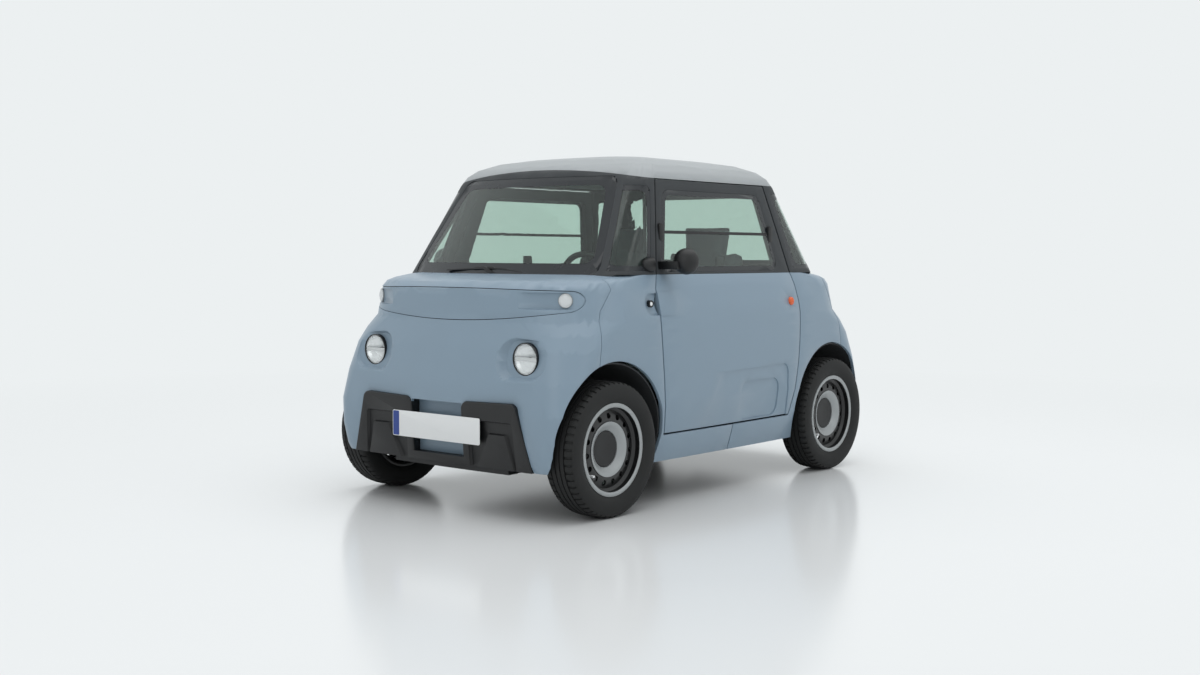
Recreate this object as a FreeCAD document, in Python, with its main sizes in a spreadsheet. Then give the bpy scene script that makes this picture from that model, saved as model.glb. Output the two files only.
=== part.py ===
import FreeCAD, Part
import math
import os
import Sketcher

# Two-seat electric microcar. Millimetres, +Z up, nose towards -Y, the car's left side towards +X.
# The origin is on the ground, midway between the axles. The rear moulding is the front moulding
# turned half round, and the right door is the left door turned half round, so the left door is
# hinged at its rear edge and the right door at its front edge.

Vector = FreeCAD.Vector
X_AXIS = Vector(1, 0, 0)
Y_AXIS = Vector(0, 1, 0)
Z_AXIS = Vector(0, 0, 1)
ORIGIN = Vector(0, 0, 0)
HALF_TURN = 180

SIZES = (
    # body shell
    ("overall_length", 2410),
    ("overall_width", 1390),
    ("overall_height", 1520),
    ("wall", 15),
    ("frame_depth", 34),
    ("roof_depth", 30),
    ("panel_seam", 0.6),
    ("seat_gap", 0.3),
    ("overrun", 400),
    # wheels and axles
    ("wheelbase", 1728),
    ("tyre_diameter", 557),
    ("tyre_width", 155),
    ("tyre_wall", 10),
    ("rim_flange_radius", 190),
    ("rim_lip", 12),
    ("rim_well_depth", 20),
    ("rim_width", 114),
    ("rim_wall", 5),
    ("arch_room", 41.5),
    ("arch_forward", 16),
    ("arch_lift", 38.5),
    # doors
    ("door_depth", 42),
    ("door_flange", 6),
    ("door_flange_run", 62),
    ("door_gap", 8),
    ("hinge_setback", 35),
    ("hinge_behind", 38),
    ("hinge_pin_radius", 4),
    ("running_clearance", 0.05),
    # glass
    ("glass_thickness", 5),
    ("glass_inset", 1),
    ("glass_lap", 32),
    # steering and suspension
    ("ball_joint_inset", 57.5),
    ("ball_joint_drop", 98.5),
    ("strut_top_inset", 147.5),
    ("strut_top_height", 600),
    ("stub_radius", 14),
    # nose pieces
    ("sill_split", 5),
    ("bumper_corner", 34),
    ("bumper_wall", 12),
    ("bumper_edge", 7),
    ("bumper_relief", 13),
    ("bumper_reach", 58),
    ("centre_depth", 45),
    ("bracket_width", 440),
    ("plate_width", 520),
    ("plate_height", 110),
    ("plate_thickness", 2),
    ("plate_bottom", 294),
    ("lamp_dome", 7),
    ("lamp_depth", 60),
    ("head_lamp_radius", 66),
    ("pocket_lean", 10),
    ("pocket_back", 8),
    ("side_lamp_radius", 29.5),
    ("scoop_back", 8),
    ("marker_radius", 18),
    ("marker_proud", 4),
    ("door_pad_proud", 3),
    ("door_press", 6),
    ("door_square_depth", 7),
    ("grip_depth", 10),
    # windows
    ("screen_corner", 48),
    ("quarter_corner", 22),
    ("quarter_lap", 10),
    ("window_corner", 48),
    ("window_bar_radius", 7),
    ("pillar_width", 28),
    # wheels, axles and steering
    ("hole_radius", 12),
    ("hole_count_share", 15),
    ("stub_inner", 40),
    ("hub_radius", 55),
    ("disc_radius", 118),
    ("carrier_radius", 42),
    ("steer_arm_reach", 105),
    ("tie_pin_radius", 6),
    ("tie_rod_radius", 7),
    ("tie_rod_inner", 300),
    ("gaiter_bore", 26),
    ("gaiter_wall", 4),
    ("strut_rod_radius", 9),
    ("strut_tube_radius", 22),
    ("joint_pin_radius", 9),
    ("cup_radius", 24),
    ("shaft_radius", 12),
    # wheelhouses, floor and frame
    ("liner_room", 6),
    ("liner_wall", 6),
    ("liner_height", 300),
    ("liner_side", 378),
    ("rail_side", 330),
    ("rail_width", 50),
    ("rail_bottom", 170),
    ("floor_height", 222),
    ("floor_wall", 10),
    ("tube", 40),
    ("hinge_eye_height", 29),
    ("hinge_leaf", 8),
    ("hinge_neck_depth", 58),
    ("hinge_relief", 5),
    ("jack_pad_radius", 22),
    ("jack_pad_height", 10),
    # cabin
    ("bulkhead_front_offset", 139),
    ("bulkhead_rear_offset", 258),
    ("seat_width", 430),
    ("seat_stagger", 100),
    ("head_rest_width", 250),
    ("steering_wheel_radius", 175),
    ("steering_wheel_section", 13),
    ("column_tilt", 28),
    ("column_radius", 24),
    ("column_shaft_radius", 12),
    ("mirror_radius", 56),
    ("mirror_reach", 35),
)

doc = FreeCAD.newDocument("Microcar")
sheet = doc.addObject("Spreadsheet::Sheet", "Sizes")
for row, (alias, value) in enumerate(SIZES, start=1):
    sheet.set("A%d" % row, alias)
    sheet.set("B%d" % row, str(value))
    sheet.setAlias("B%d" % row, alias)
doc.recompute()


def size(alias):
    """The value of one cell of the sheet, in millimetres."""
    return float(getattr(sheet, alias))


parts = []


def add_shape(label, shape, turn=0):
    """A sub-part whose shape is worked out from the sheet, set turn degrees round the vertical."""
    feature = doc.addObject("Part::Feature", label)
    feature.Label = label
    feature.Shape = shape
    feature.Placement = FreeCAD.Placement(Vector(), FreeCAD.Rotation(Z_AXIS, turn)).multiply(shape.Placement)
    parts.append(feature)
    return feature


# Plan sections of the body, each a share of the overall height, half width, half length,
# half width (corner radius) and overall length (bow of the front).
LOWER_SHARES = (
    (0.1224, 0.9180, 0.9860, 0.110, 3.20),
    (0.1513, 0.9381, 0.9955, 0.105, 3.60),
    (0.2105, 0.9727, 0.9990, 0.105, 4.00),
    (0.2829, 0.9957, 1.0000, 0.125, 3.20),
    (0.3658, 1.0000, 0.9917, 0.194, 2.28),
    (0.4474, 0.9971, 0.9693, 0.273, 1.87),
    (0.4901, 0.9942, 0.9527, 0.360, 1.45),
    (0.5263, 0.9899, 0.9369, 0.482, 1.16),
    (0.6092, 0.9554, 0.9353, 0.504, 1.08),
    (0.6263, 0.9424, 0.9129, 0.489, 1.08),
    (0.6355, 0.9353, 0.8714, 0.475, 1.00),
    (0.6434, 0.9281, 0.7967, 0.432, 1.00),
    (0.6480, 0.9237, 0.7336, 0.360, 0.91),
)
UPPER_SHARES = (
    (0.5921, 0.9424, 0.7884, 0.201, 0.91),
    (0.6480, 0.9237, 0.7336, 0.180, 0.83),
    (0.7895, 0.8676, 0.6149, 0.170, 0.79),
    (0.9145, 0.8144, 0.5129, 0.161, 0.79),
    (0.9408, 0.7871, 0.4880, 0.158, 0.79),
    (0.9618, 0.7367, 0.4548, 0.173, 0.75),
    (0.9803, 0.6331, 0.3942, 0.201, 0.71),
    (0.9921, 0.4748, 0.3029, 0.216, 0.66),
    (1.0000, 0.1727, 0.1328, 0.115, 0.62),
)
SIDE_BOW_SHARE = 12.0
LOWER_ROLL_SHARE = 0.60
ROOF_ROLL_SHARE = 0.93


def arc_edge(centre, radius, start, end, height):
    """A plan arc as one cubic edge."""
    first = math.atan2(start[1] - centre[1], start[0] - centre[0])
    last = math.atan2(end[1] - centre[1], end[0] - centre[0])
    turn = (last - first + math.pi) % (2 * math.pi) - math.pi
    handle = 4 / 3 * math.tan(turn / 4) * radius
    curve = Part.BezierCurve()
    curve.setPoles([
        Vector(start[0], start[1], height),
        Vector(start[0] - handle * math.sin(first), start[1] + handle * math.cos(first), height),
        Vector(end[0] + handle * math.sin(last), end[1] - handle * math.cos(last), height),
        Vector(end[0], end[1], height),
    ])
    return curve.toShape()


def section_wire(height, half_width, half_length, corner, end_bow, side_bow):
    """One plan section: bowed ends and sides, joined by tangent corners."""
    end_centre = (0, end_bow - half_length)
    side_centre = (half_width - side_bow, 0)
    to_end = end_bow - corner
    to_side = side_bow - corner
    across = side_centre[0] - end_centre[0]
    along = side_centre[1] - end_centre[1]
    span = math.hypot(across, along)
    reach = (to_end ** 2 - to_side ** 2 + span ** 2) / (2 * span)
    rise = math.sqrt(max(to_end ** 2 - reach ** 2, 0))
    foot = (end_centre[0] + reach * across / span, end_centre[1] + reach * along / span)
    found = [
        (foot[0] + rise * along / span, foot[1] - rise * across / span),
        (foot[0] - rise * along / span, foot[1] + rise * across / span),
    ]
    cx, cy = max(found, key=lambda point: point[0] - point[1])
    ex = end_centre[0] + end_bow * (cx - end_centre[0]) / to_end
    ey = end_centre[1] + end_bow * (cy - end_centre[1]) / to_end
    sx = side_centre[0] + side_bow * (cx - side_centre[0]) / to_side
    sy = side_centre[1] + side_bow * (cy - side_centre[1]) / to_side
    edges = [
        arc_edge(end_centre, end_bow, (-ex, ey), (ex, ey), height),
        arc_edge((cx, cy), corner, (ex, ey), (sx, sy), height),
        arc_edge(side_centre, side_bow, (sx, sy), (sx, -sy), height),
        arc_edge((cx, -cy), corner, (sx, -sy), (ex, -ey), height),
        arc_edge((0, -end_centre[1]), end_bow, (ex, -ey), (-ex, -ey), height),
        arc_edge((-cx, -cy), corner, (-ex, -ey), (-sx, -sy), height),
        arc_edge((-side_centre[0], 0), side_bow, (-sx, -sy), (-sx, sy), height),
        arc_edge((-cx, cy), corner, (-sx, sy), (-ex, ey), height),
    ]
    return Part.Wire(edges)


def envelope(shares, inset, roll_share, drop, open_below=False, open_above=False):
    """The body's outer form, or a form inside it. Sections above roll_share come down by drop."""
    wires = []
    half_width = size("overall_width") / 2
    half_length = size("overall_length") / 2
    for high, wide, long, round_share, bow_share in shares:
        height = high * size("overall_height")
        if high > roll_share:
            height -= drop
        corner = max(round_share * half_width - inset, size("wall"))
        wires.append(section_wire(height, wide * half_width - inset, long * half_length - inset,
                                  corner, bow_share * size("overall_length"),
                                  SIDE_BOW_SHARE * size("overall_length")))
    if open_below:
        foot = wires[0].copy()
        foot.translate(Vector(0, 0, -size("overrun")))
        wires.insert(0, foot)
    if open_above:
        lid = wires[-1].copy()
        lid.translate(Vector(0, 0, size("overrun")))
        wires.append(lid)
    return Part.makeLoft(wires, True, True)


def lower_form(inset, open_above=False):
    return envelope(LOWER_SHARES, inset, LOWER_ROLL_SHARE, 0 if open_above else inset,
                    inset > 0, open_above)


def upper_form(inset, drop=None):
    return envelope(UPPER_SHARES, inset, ROOF_ROLL_SHARE, inset if drop is None else drop)


def turned(shape):
    """The shape turned half round about the vertical through the origin."""
    return shape.mirror(ORIGIN, X_AXIS).mirror(ORIGIN, Y_AXIS)


def mirrored(shape):
    return shape.mirror(ORIGIN, X_AXIS)


def block(low, high):
    """A box between two corners."""
    return Part.makeBox(high[0] - low[0], high[1] - low[1], high[2] - low[2], Vector(*low))


def prism(edges, direction):
    """A closed outline pushed along a direction."""
    return Part.Face(Part.Wire(Part.__sortEdges__(edges))).extrude(direction)


def polygon_edges(points):
    return [Part.LineSegment(points[i], points[(i + 1) % len(points)]).toShape()
            for i in range(len(points))]


def side_points(shares, across):
    """A side outline as points at one distance from the middle."""
    return [Vector(across, along * half_length, up * tall) for along, up in shares]


def front_points(shares, along):
    """A front outline as points at one distance along the car."""
    return [Vector(across * half_width, along, up * tall) for across, up in shares]


# Outlines and places. A side outline is in shares of the half length and the overall height, a front
# outline in shares of the half width and the overall height.
DOOR_FRONT_SHARES = ((-0.4199, 0.2046), (-0.4506, 0.4539), (-0.4614, 0.6086))
DOOR_REAR_SHARES = ((0.4548, 0.5592), (0.4398, 0.3783), (0.3900, 0.2046))
DOOR_FRAME_SHARES = ((-0.4349, 0.6480), (-0.3651, 0.9164), (0.3245, 0.9164), (0.4324, 0.6480))
MOULDING_SEAM_SHARES = ((-0.7046, 0.6579), (-0.6979, 0.6092), (-0.7510, 0.5533),
                        (-0.7743, 0.4882), (-0.7884, 0.4151), (-0.7884, 0.0000))
POD_SHARES = ((0.2129, 0.0921), (0.2129, 0.3079), (0.6417, 0.3118), (0.7885, 0.0921))
POD_FACE_SHARES = ((-0.9834, 0.0921), (-1.0108, 0.3816), (0.0000, 0.3816), (0.0000, 0.0921))
POD_MOUTH_SHARES = ((0.2475, 0.0658), (0.2475, 0.2658), (0.6331, 0.2658), (0.6820, 0.0658))
POD_RECESS_SHARES = ((0.2820, 0.0658), (0.2820, 0.2500), (0.6043, 0.2500), (0.6417, 0.0658))
POD_PAD_SHARES = ((0.2820, 0.0592), (0.4489, 0.2191), (0.5482, 0.2191), (0.6331, 0.0592))
POD_PAD_FOOT_SHARES = ((0.2302, 0.0592), (0.4115, 0.2342), (0.5813, 0.2342), (0.6820, 0.0592))
CENTRE_SHARES = ((-0.2158, 0.1553), (-0.2158, 0.3013), (0.2158, 0.3013), (0.2158, 0.1553))
ROOF_SEAM_SHARES = ((-0.8201, 0.9184), (0.0000, 0.9493), (0.8201, 0.9184))
WINDSCREEN_SHARES = ((-0.8000, 0.6382), (-0.6475, 0.9263), (0.6475, 0.9263), (0.8000, 0.6382))
REAR_WINDOW_SHARES = ((-0.7194, 0.6645), (-0.6115, 0.9112), (0.6115, 0.9112), (0.7194, 0.6645))
QUARTER_FRONT_SHARES = ((-0.6739, 0.6579), (-0.4664, 0.6579), (-0.4017, 0.8980), (-0.5311, 0.8980))
QUARTER_REAR_SHARES = ((0.4697, 0.6599), (0.6241, 0.6599), (0.4772, 0.8947), (0.3734, 0.8947))
DOOR_WINDOW_SHARES = ((-0.4083, 0.6553), (0.3552, 0.6553), (0.2805, 0.8875), (-0.3353, 0.8875))
BAND_TOP_SHARES = ((-0.8129, 0.6066), (0.0000, 0.6125), (0.8129, 0.6066))
BAND_FOOT_SHARES = ((0.8173, 0.5500), (0.0000, 0.5230), (-0.8173, 0.5500))
BAND_END_SHARE = (0.8691, 0.5789)
DOOR_SQUARE_SHARES = ((0.0357, 0.2086), (0.0357, 0.3257), (0.3021, 0.3257), (0.3021, 0.2086))
DOOR_PRESS_SHARES = ((-0.2490, 0.1316), (-0.0996, 0.3586), (0.3651, 0.3684), (0.3776, 0.1316))
DOOR_PAD_SHARES = ((-0.4979, 0.5342), (-0.4979, 0.6000), (-0.3527, 0.6000), (-0.3527, 0.5342))
GRIP_SHARES = ((-0.5353, 0.5362), (-0.5353, 0.5967), (-0.4149, 0.5967), (-0.4149, 0.5362))
DASH_SHARES = ((-0.6888, 0.3947), (-0.5809, 0.3947), (-0.4979, 0.4605),
               (-0.4647, 0.5921), (-0.4979, 0.6237), (-0.6888, 0.6237))
SEAT_CUSHION_SHARES = ((-0.2075, 0.2796), (-0.2033, 0.3388), (0.1867, 0.3257), (0.1992, 0.2796))
SEAT_BACK_SHARES = ((0.1784, 0.2895), (0.1577, 0.3289), (0.2365, 0.7171),
                    (0.3029, 0.7072), (0.2573, 0.2895))
HEAD_REST_SHARES = ((0.2407, 0.6842), (0.2531, 0.8059), (0.3029, 0.8059), (0.3004, 0.6842))
BELT_SHARE = 0.6480
COWL_SHARE = 0.6296
BELT_RUN_SHARE = 0.6307
COWL_RUN_SHARE = 0.7510
COWL_SIDE_SHARE = 0.8604
SILL_SHARE = 0.1224
NOSE_FOOT_SHARE = 0.1336
MOULDING_FOOT_SHARE = 0.8300
PLATE_RUN_SHARE = 1.0012
WINDOW_BAR_SHARE = 0.7671
HINGE_SHARES = (0.3553, 0.5263)
SHELF_SHARE = 0.4901
DASH_SIDE_SHARE = 0.8489
SEAT_SIDE_SHARE = 0.4101
JACK_SHARE = 0.2905
# Places: shares of the half width, half length and overall height.
HEAD_LAMP_SHARES = (0.6446, 0.9436, 0.4276)
POCKET_FLOOR_SHARES = (0.1511, 0.0487)
POCKET_MOUTH_SHARES = (0.2216, 0.0757)
POCKET_CORNER_SHARES = (0.0863, 0.1439)
SCOOP_PLAN_SHARES = ((0.5396, -0.9137), (0.8518, -0.8158))
SCOOP_HEIGHT_SHARES = (0.5592, 0.6026)
SIDE_LAMP_SHARE = 0.7930
SIDE_LAMP_HEIGHT_SHARE = 0.5812
TREAD_SHARE = 0.38
FINGER_SHARES = (-0.4282, 0.5664, 0.0835)
STEERING_WHEEL_SHARES = (0.4101, 0.4149, 0.6020)
MIRROR_SHARES = (0.3651, 0.6849)
MARKER_SHARES = (0.3975, 0.5592)


def band_wire():
    """The band panel's outline in the front view: long arcs above and below, round ends."""
    top = front_points(BAND_TOP_SHARES, 0)
    foot = front_points(BAND_FOOT_SHARES, 0)
    left_end = front_points((BAND_END_SHARE,), 0)[0]
    right_end = Vector(-left_end.x, 0, left_end.z)
    return Part.Wire([
        Part.Arc(*top).toShape(),
        Part.Arc(top[2], left_end, foot[0]).toShape(),
        Part.Arc(*foot).toShape(),
        Part.Arc(foot[2], right_end, top[0]).toShape(),
    ])


def rounded_wire(points, corner):
    """A closed polygon of points with every corner rounded."""
    edges = []
    count = len(points)
    starts, ends, middles = [], [], []
    for i in range(count):
        before = (points[i - 1] - points[i]).normalize()
        after = (points[(i + 1) % count] - points[i]).normalize()
        half_angle = before.getAngle(after) / 2
        run = corner / math.tan(half_angle)
        starts.append(points[i] + before * run)
        ends.append(points[i] + after * run)
        inward = (before + after).normalize()
        middles.append(points[i] + inward * (corner / math.sin(half_angle) - corner))
    for i in range(count):
        edges.append(Part.Arc(starts[i], middles[i], ends[i]).toShape())
        edges.append(Part.LineSegment(ends[i], starts[(i + 1) % count]).toShape())
    return Part.Wire(edges)


half_width = size("overall_width") / 2
half_length = size("overall_length") / 2
tall = size("overall_height")
wall = size("wall")
seam = size("panel_seam")
gap = size("door_gap")
over = size("overrun")
belt = BELT_SHARE * tall
cowl = COWL_SHARE * tall
belt_run = BELT_RUN_SHARE * half_length
cowl_run = COWL_RUN_SHARE * half_length
seat = size("seat_gap")
axle = size("wheelbase") / 2
tyre_radius = size("tyre_diameter") / 2
track_side = half_width - size("tyre_width") / 2
clear = size("running_clearance")
tube = size("tube")
rim_wall = size("rim_wall")
arch_radius = tyre_radius + size("arch_room")
arch_height = tyre_radius + size("arch_lift")
hinge_heights = [share * tall for share in HINGE_SHARES]
low_joint = Vector(track_side - size("ball_joint_inset"), -axle, tyre_radius - size("ball_joint_drop"))
strut_top = Vector(track_side - size("strut_top_inset"), -axle, size("strut_top_height"))
pin_x = half_width - size("hinge_setback")
pin_y = DOOR_REAR_SHARES[0][0] * half_length + size("hinge_behind")

outer_lower = lower_form(0)
inner_lower = lower_form(wall)
outer_upper = upper_form(0)
inner_upper = upper_form(size("frame_depth"), size("roof_depth"))


def above_base(shift):
    """Everything above the base line of the glasshouse."""
    top = tall + over
    places = [(-half_length, cowl), (-cowl_run, cowl), (-belt_run, belt), (belt_run, belt),
              (cowl_run, cowl), (half_length, cowl)]
    points = [Vector(-half_width, along, up + shift) for along, up in places]
    points += [Vector(-half_width, half_length, top), Vector(-half_width, -half_length, top)]
    return prism(polygon_edges(points), Vector(2 * half_width, 0, 0))


glasshouse = upper_form(-seam, 0).common(above_base(-seam))
top_limit = tall + over
left_half = block((0, -half_length - over, -over), (half_width + over, half_length + over, top_limit))
front_half = block((-half_width - over, -half_length - over, -over), (half_width + over, 0, top_limit))
below_belt = block((-half_width - over, -half_length - over, -over),
                   (half_width + over, half_length + over, belt))


def door_wire(growth=0):
    """The left door's outline in the side view; it is hinged at its rear edge."""
    front = side_points(DOOR_FRONT_SHARES, over)
    rear = side_points(DOOR_REAR_SHARES, over)
    frame = side_points(DOOR_FRAME_SHARES, over)
    corners = [front[2]] + frame + [rear[0]]
    sides = [Part.LineSegment(first, second).toShape() for first, second in zip(corners, corners[1:])]
    wire = Part.Wire([Part.Arc(*front).toShape()] + sides
                     + [Part.Arc(*rear).toShape(), Part.LineSegment(rear[2], front[0]).toShape()])
    return wire.makeOffset2D(growth) if growth else wire


def door_prism(growth=0):
    return Part.Face(door_wire(growth)).extrude(Vector(half_width, 0, 0))


door_cut = door_prism(gap)
door_space = door_prism()
arch_side = half_width - size("tyre_width") - wall


def arch_cut(end):
    """The round opening over a wheel, a little nearer the cabin than the axle."""
    return Part.makeCylinder(arch_radius, half_width,
                             Vector(arch_side, end * (axle - size("arch_forward")), arch_height), X_AXIS)


def swing_room():
    """The ball round the kingpin in which a front tyre stays at every steering angle."""
    rise_share = (tyre_radius - low_joint.z) / (strut_top.z - low_joint.z)
    centre = low_joint + (strut_top - low_joint) * rise_share
    reach = track_side + TREAD_SHARE * size("tyre_width") - centre.x
    return Part.makeSphere(math.hypot(reach, tyre_radius) + clear, centre, Z_AXIS)


# Mouldings and side panels.
def moulding_space(shift):
    """The room of the nose moulding: ahead of its side seam, and the cowl above it."""
    points = [point + Vector(0, shift, 0) for point in side_points(MOULDING_SEAM_SHARES, -over)]
    points += [Vector(-over, -half_length - over, 0), Vector(-over, -half_length - over, points[0].z)]
    ends = prism(polygon_edges(points), Vector(half_width + 2 * over, 0, 0))
    top = block((-over, -half_length, cowl - over / 4),
                (COWL_SIDE_SHARE * half_width + shift, -belt_run, belt + over))
    return ends.fuse(top)


def flipped(shape):
    """The shape mirrored front to rear."""
    return shape.mirror(ORIGIN, Y_AXIS)


lower_shell = outer_lower.common(left_half).cut(inner_lower).cut(glasshouse).cut(inner_upper)
lower_shell = lower_shell.cut(arch_cut(-1)).cut(arch_cut(1))
left_moulding = lower_shell.common(moulding_space(0))
front_moulding = left_moulding.fuse(mirrored(left_moulding)).removeSplitter()
side_band = lower_shell.cut(moulding_space(seam)).cut(flipped(moulding_space(seam))).cut(door_cut)
split = size("sill_split")
side_front_left = side_band.common(block((0, -half_length, 0), (half_width, split - seam / 2, belt + over)))
side_rear_left = side_band.common(block((0, split + seam / 2, 0), (half_width, half_length, belt + over)))
for height in hinge_heights:
    relief_low = height - size("hinge_eye_height") / 2 - size("hinge_relief")
    side_rear_left = side_rear_left.cut(Part.makeCylinder(
        size("hinge_leaf") + size("hinge_relief"), size("hinge_eye_height") + 2 * size("hinge_relief"),
        Vector(pin_x, pin_y, relief_low)))


def front_prism(shares, corner, growth=0, side=-1):
    """An outline in the front view, pushed through the nose (side -1) or the tail (side 1)."""
    wire = rounded_wire(front_points(shares, 0), corner)
    if growth:
        wire = wire.makeOffset2D(growth)
    return Part.Face(wire).extrude(Vector(0, side * (half_length + over), 0))


def side_prism(shares, corner, growth=0, side=1):
    """An outline in the side view, pushed through the left side (1) or the right (-1)."""
    wire = rounded_wire(side_points(shares, side * over / 2), corner)
    if growth:
        wire = wire.makeOffset2D(growth)
    return Part.Face(wire).extrude(Vector(side * half_width, 0, 0))


def both_sides(shape):
    """A left-hand shape and its mirror image."""
    return [shape, mirrored(shape)]


def moved(shape, across=0, along=0, up=0):
    """A copy of the shape, moved."""
    copy = shape.copy()
    copy.translate(Vector(across, along, up))
    return copy


# The band panel let into the nose. Beside each small lamp it is scooped: a flat cut across the
# corner of the nose, square to the lamp, with sloping walls above and below.
nose_run = Vector(0, -half_length - over, 0)
nose_shell = outer_lower.common(front_half).cut(inner_lower)
band_space = Part.Face(band_wire()).extrude(nose_run)
band_cut = Part.Face(band_wire().makeOffset2D(seam)).extrude(nose_run)
scoop_ends = [Vector(across * half_width, along * half_length, 0) for across, along in SCOOP_PLAN_SHARES]
scoop_way = (scoop_ends[1] - scoop_ends[0]).normalize()
scoop_out = scoop_way.cross(Z_AXIS)
scoop_length = (scoop_ends[1] - scoop_ends[0]).Length
scoop_low, scoop_high = (share * tall for share in SCOOP_HEIGHT_SHARES)


def scoop_form(back, growth):
    """The room of a scoop, set back behind its floor and grown at its sides."""
    start = scoop_ends[0] - scoop_way * growth
    slope = tube / 4
    profile = [start - scoop_out * back + Vector(0, 0, scoop_low - growth),
               start + scoop_out * tube + Vector(0, 0, scoop_low - growth - slope),
               start + scoop_out * tube + Vector(0, 0, scoop_high + growth + slope / 2),
               start - scoop_out * back + Vector(0, 0, scoop_high + growth)]
    return prism(polygon_edges(profile), scoop_way * (scoop_length + tube / 2 + 2 * growth))


band_panel = nose_shell.common(band_space)
scoop_wall = scoop_form(size("scoop_back"), size("scoop_back"))
scoop_walls = [form.common(outer_lower).common(band_space) for form in both_sides(scoop_wall)]
band_panel = band_panel.fuse(scoop_walls).cut(both_sides(scoop_form(0, 0)))

# The black bumper insert: two hollow pods with a flat leaning face, recessed round a raised pad,
# a strip joining them at the bottom, and the bracket that carries the plate.
edge = size("bumper_edge")
bumper_wall = size("bumper_wall")
foot_cut = block((-half_width - over, -half_length - over, -over),
                 (half_width + over, -MOULDING_FOOT_SHARE * half_length, NOSE_FOOT_SHARE * tall))


def face_space(back):
    """Everything behind the pods' leaning face, moved back."""
    points = [point + Vector(0, back, 0) for point in side_points(POD_FACE_SHARES, -half_width)]
    return prism(polygon_edges(points), Vector(2 * half_width, 0, 0))


def drafted(front_shares, back_shares, corner):
    """A form between an outline ahead of the nose and another one behind the pods' face."""
    ahead = rounded_wire(front_points(front_shares, -half_length - tube / 2), corner)
    behind = rounded_wire(front_points(back_shares, tube - half_length), corner)
    return Part.makeLoft([ahead, behind], True, True)


def face_edges(shape):
    """The edges round the front of a pod."""
    front_face = min(shape.Faces, key=lambda face: face.CenterOfMass.y)
    return front_face.Edges


pod_corner = size("bumper_corner")
pod = front_prism(POD_SHARES, pod_corner).common(face_space(0))
pod = pod.makeFillet(edge, face_edges(pod))
pod = pod.cut(front_prism(POD_SHARES, pod_corner, -bumper_wall).common(face_space(2 * bumper_wall)))
pod_recess = drafted(POD_MOUTH_SHARES, POD_RECESS_SHARES, pod_corner / 2)
pod_recess = pod_recess.cut(drafted(POD_PAD_SHARES, POD_PAD_FOOT_SHARES, pod_corner / 4))
pod = pod.cut(pod_recess.cut(face_space(size("bumper_relief"))))
centre_side = CENTRE_SHARES[2][0] * half_width
strip_high = CENTRE_SHARES[0][1] * tall
strip = block((-centre_side - bumper_wall, -half_length - over, -over),
              (centre_side + bumper_wall, 0, strip_high)).common(face_space(0))
strip = strip.cut(block((-centre_side, -half_length - over, -over),
                        (centre_side, 0, strip_high - bumper_wall)).common(face_space(bumper_wall)))
bumper_insert = pod.fuse([mirrored(pod), strip]).cut(lower_form(size("bumper_reach"))).cut(foot_cut)
plate_back = -PLATE_RUN_SHARE * half_length
bracket = block((-size("bracket_width") / 2, plate_back + seat, size("plate_bottom") + rim_wall),
                (size("bracket_width") / 2, plate_back + bumper_wall,
                 size("plate_bottom") + size("plate_height") - rim_wall))
tyre_rooms = both_sides(swing_room())
bumper_insert = bumper_insert.cut(tyre_rooms).fuse(bracket).removeSplitter()

# The nose moulding: seats for the band and the pods, and a sunk panel between the pods.
pod_seats = both_sides(front_prism(POD_SHARES, pod_corner, seam))
strip_seat = block((-centre_side - bumper_wall, -half_length - over, -over),
                   (centre_side + bumper_wall, 0, strip_high + seam))
centre_space = block((seam - centre_side, -half_length - over, strip_high + seam),
                     (centre_side - seam, 0, CENTRE_SHARES[1][1] * tall))
centre_panel = lower_form(size("centre_depth")).cut(lower_form(size("centre_depth") + wall))
centre_roof = block((seam - centre_side, -half_length, CENTRE_SHARES[1][1] * tall),
                    (centre_side - seam, 0, CENTRE_SHARES[1][1] * tall + wall))
centre_roof = centre_roof.common(outer_lower).cut(lower_form(size("centre_depth") + wall))
centre_panel = centre_panel.common(centre_space.fuse(moved(centre_space, 0, 0, wall / 2))).common(front_half)
front_moulding = front_moulding.cut([band_cut, strip_seat, centre_space] + pod_seats)
front_moulding = front_moulding.fuse([centre_panel.cut(pod_seats), centre_roof.cut(pod_seats)]).cut(foot_cut)

# Lamps: a lamp is a short drum let into the panel, its face a shallow dome. A head lamp stands in
# a soft square pocket that leans back with the nose and runs out at the corner of the car.
head_place = Vector(HEAD_LAMP_SHARES[0] * half_width, -HEAD_LAMP_SHARES[1] * half_length,
                    HEAD_LAMP_SHARES[2] * tall)
side_place = scoop_ends[0] + scoop_way * (scoop_length * SIDE_LAMP_SHARE)
side_place = side_place + scoop_out * seam + Vector(0, 0, SIDE_LAMP_HEIGHT_SHARE * tall)
side_lamp_turn = math.degrees(math.atan2(scoop_way.y, scoop_way.x))


def lamp(place, radius, turn):
    """A lamp facing the nose, turned outwards by turn degrees about the vertical."""
    dome = size("lamp_dome") * radius / size("head_lamp_radius")
    ball_radius = (radius ** 2 + dome ** 2) / (2 * dome)
    ball = Part.makeSphere(ball_radius, Vector(0, ball_radius - dome, 0))
    drum = Part.makeCylinder(radius, size("lamp_depth"), ORIGIN, Y_AXIS)
    front = Part.makeCylinder(radius, 2 * dome, Vector(0, -2 * dome, 0), Y_AXIS)
    drum = drum.fuse(front.common(ball)).removeSplitter()
    drum.rotate(ORIGIN, Z_AXIS, turn)
    drum.translate(place)
    return drum


def lamp_hole(place, radius, turn):
    """The round hole that a lamp sits in."""
    hole = Part.makeCylinder(radius + seat, 2 * over, Vector(0, -over, 0), Y_AXIS)
    hole.rotate(ORIGIN, Z_AXIS, turn)
    hole.translate(place)
    return hole


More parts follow.
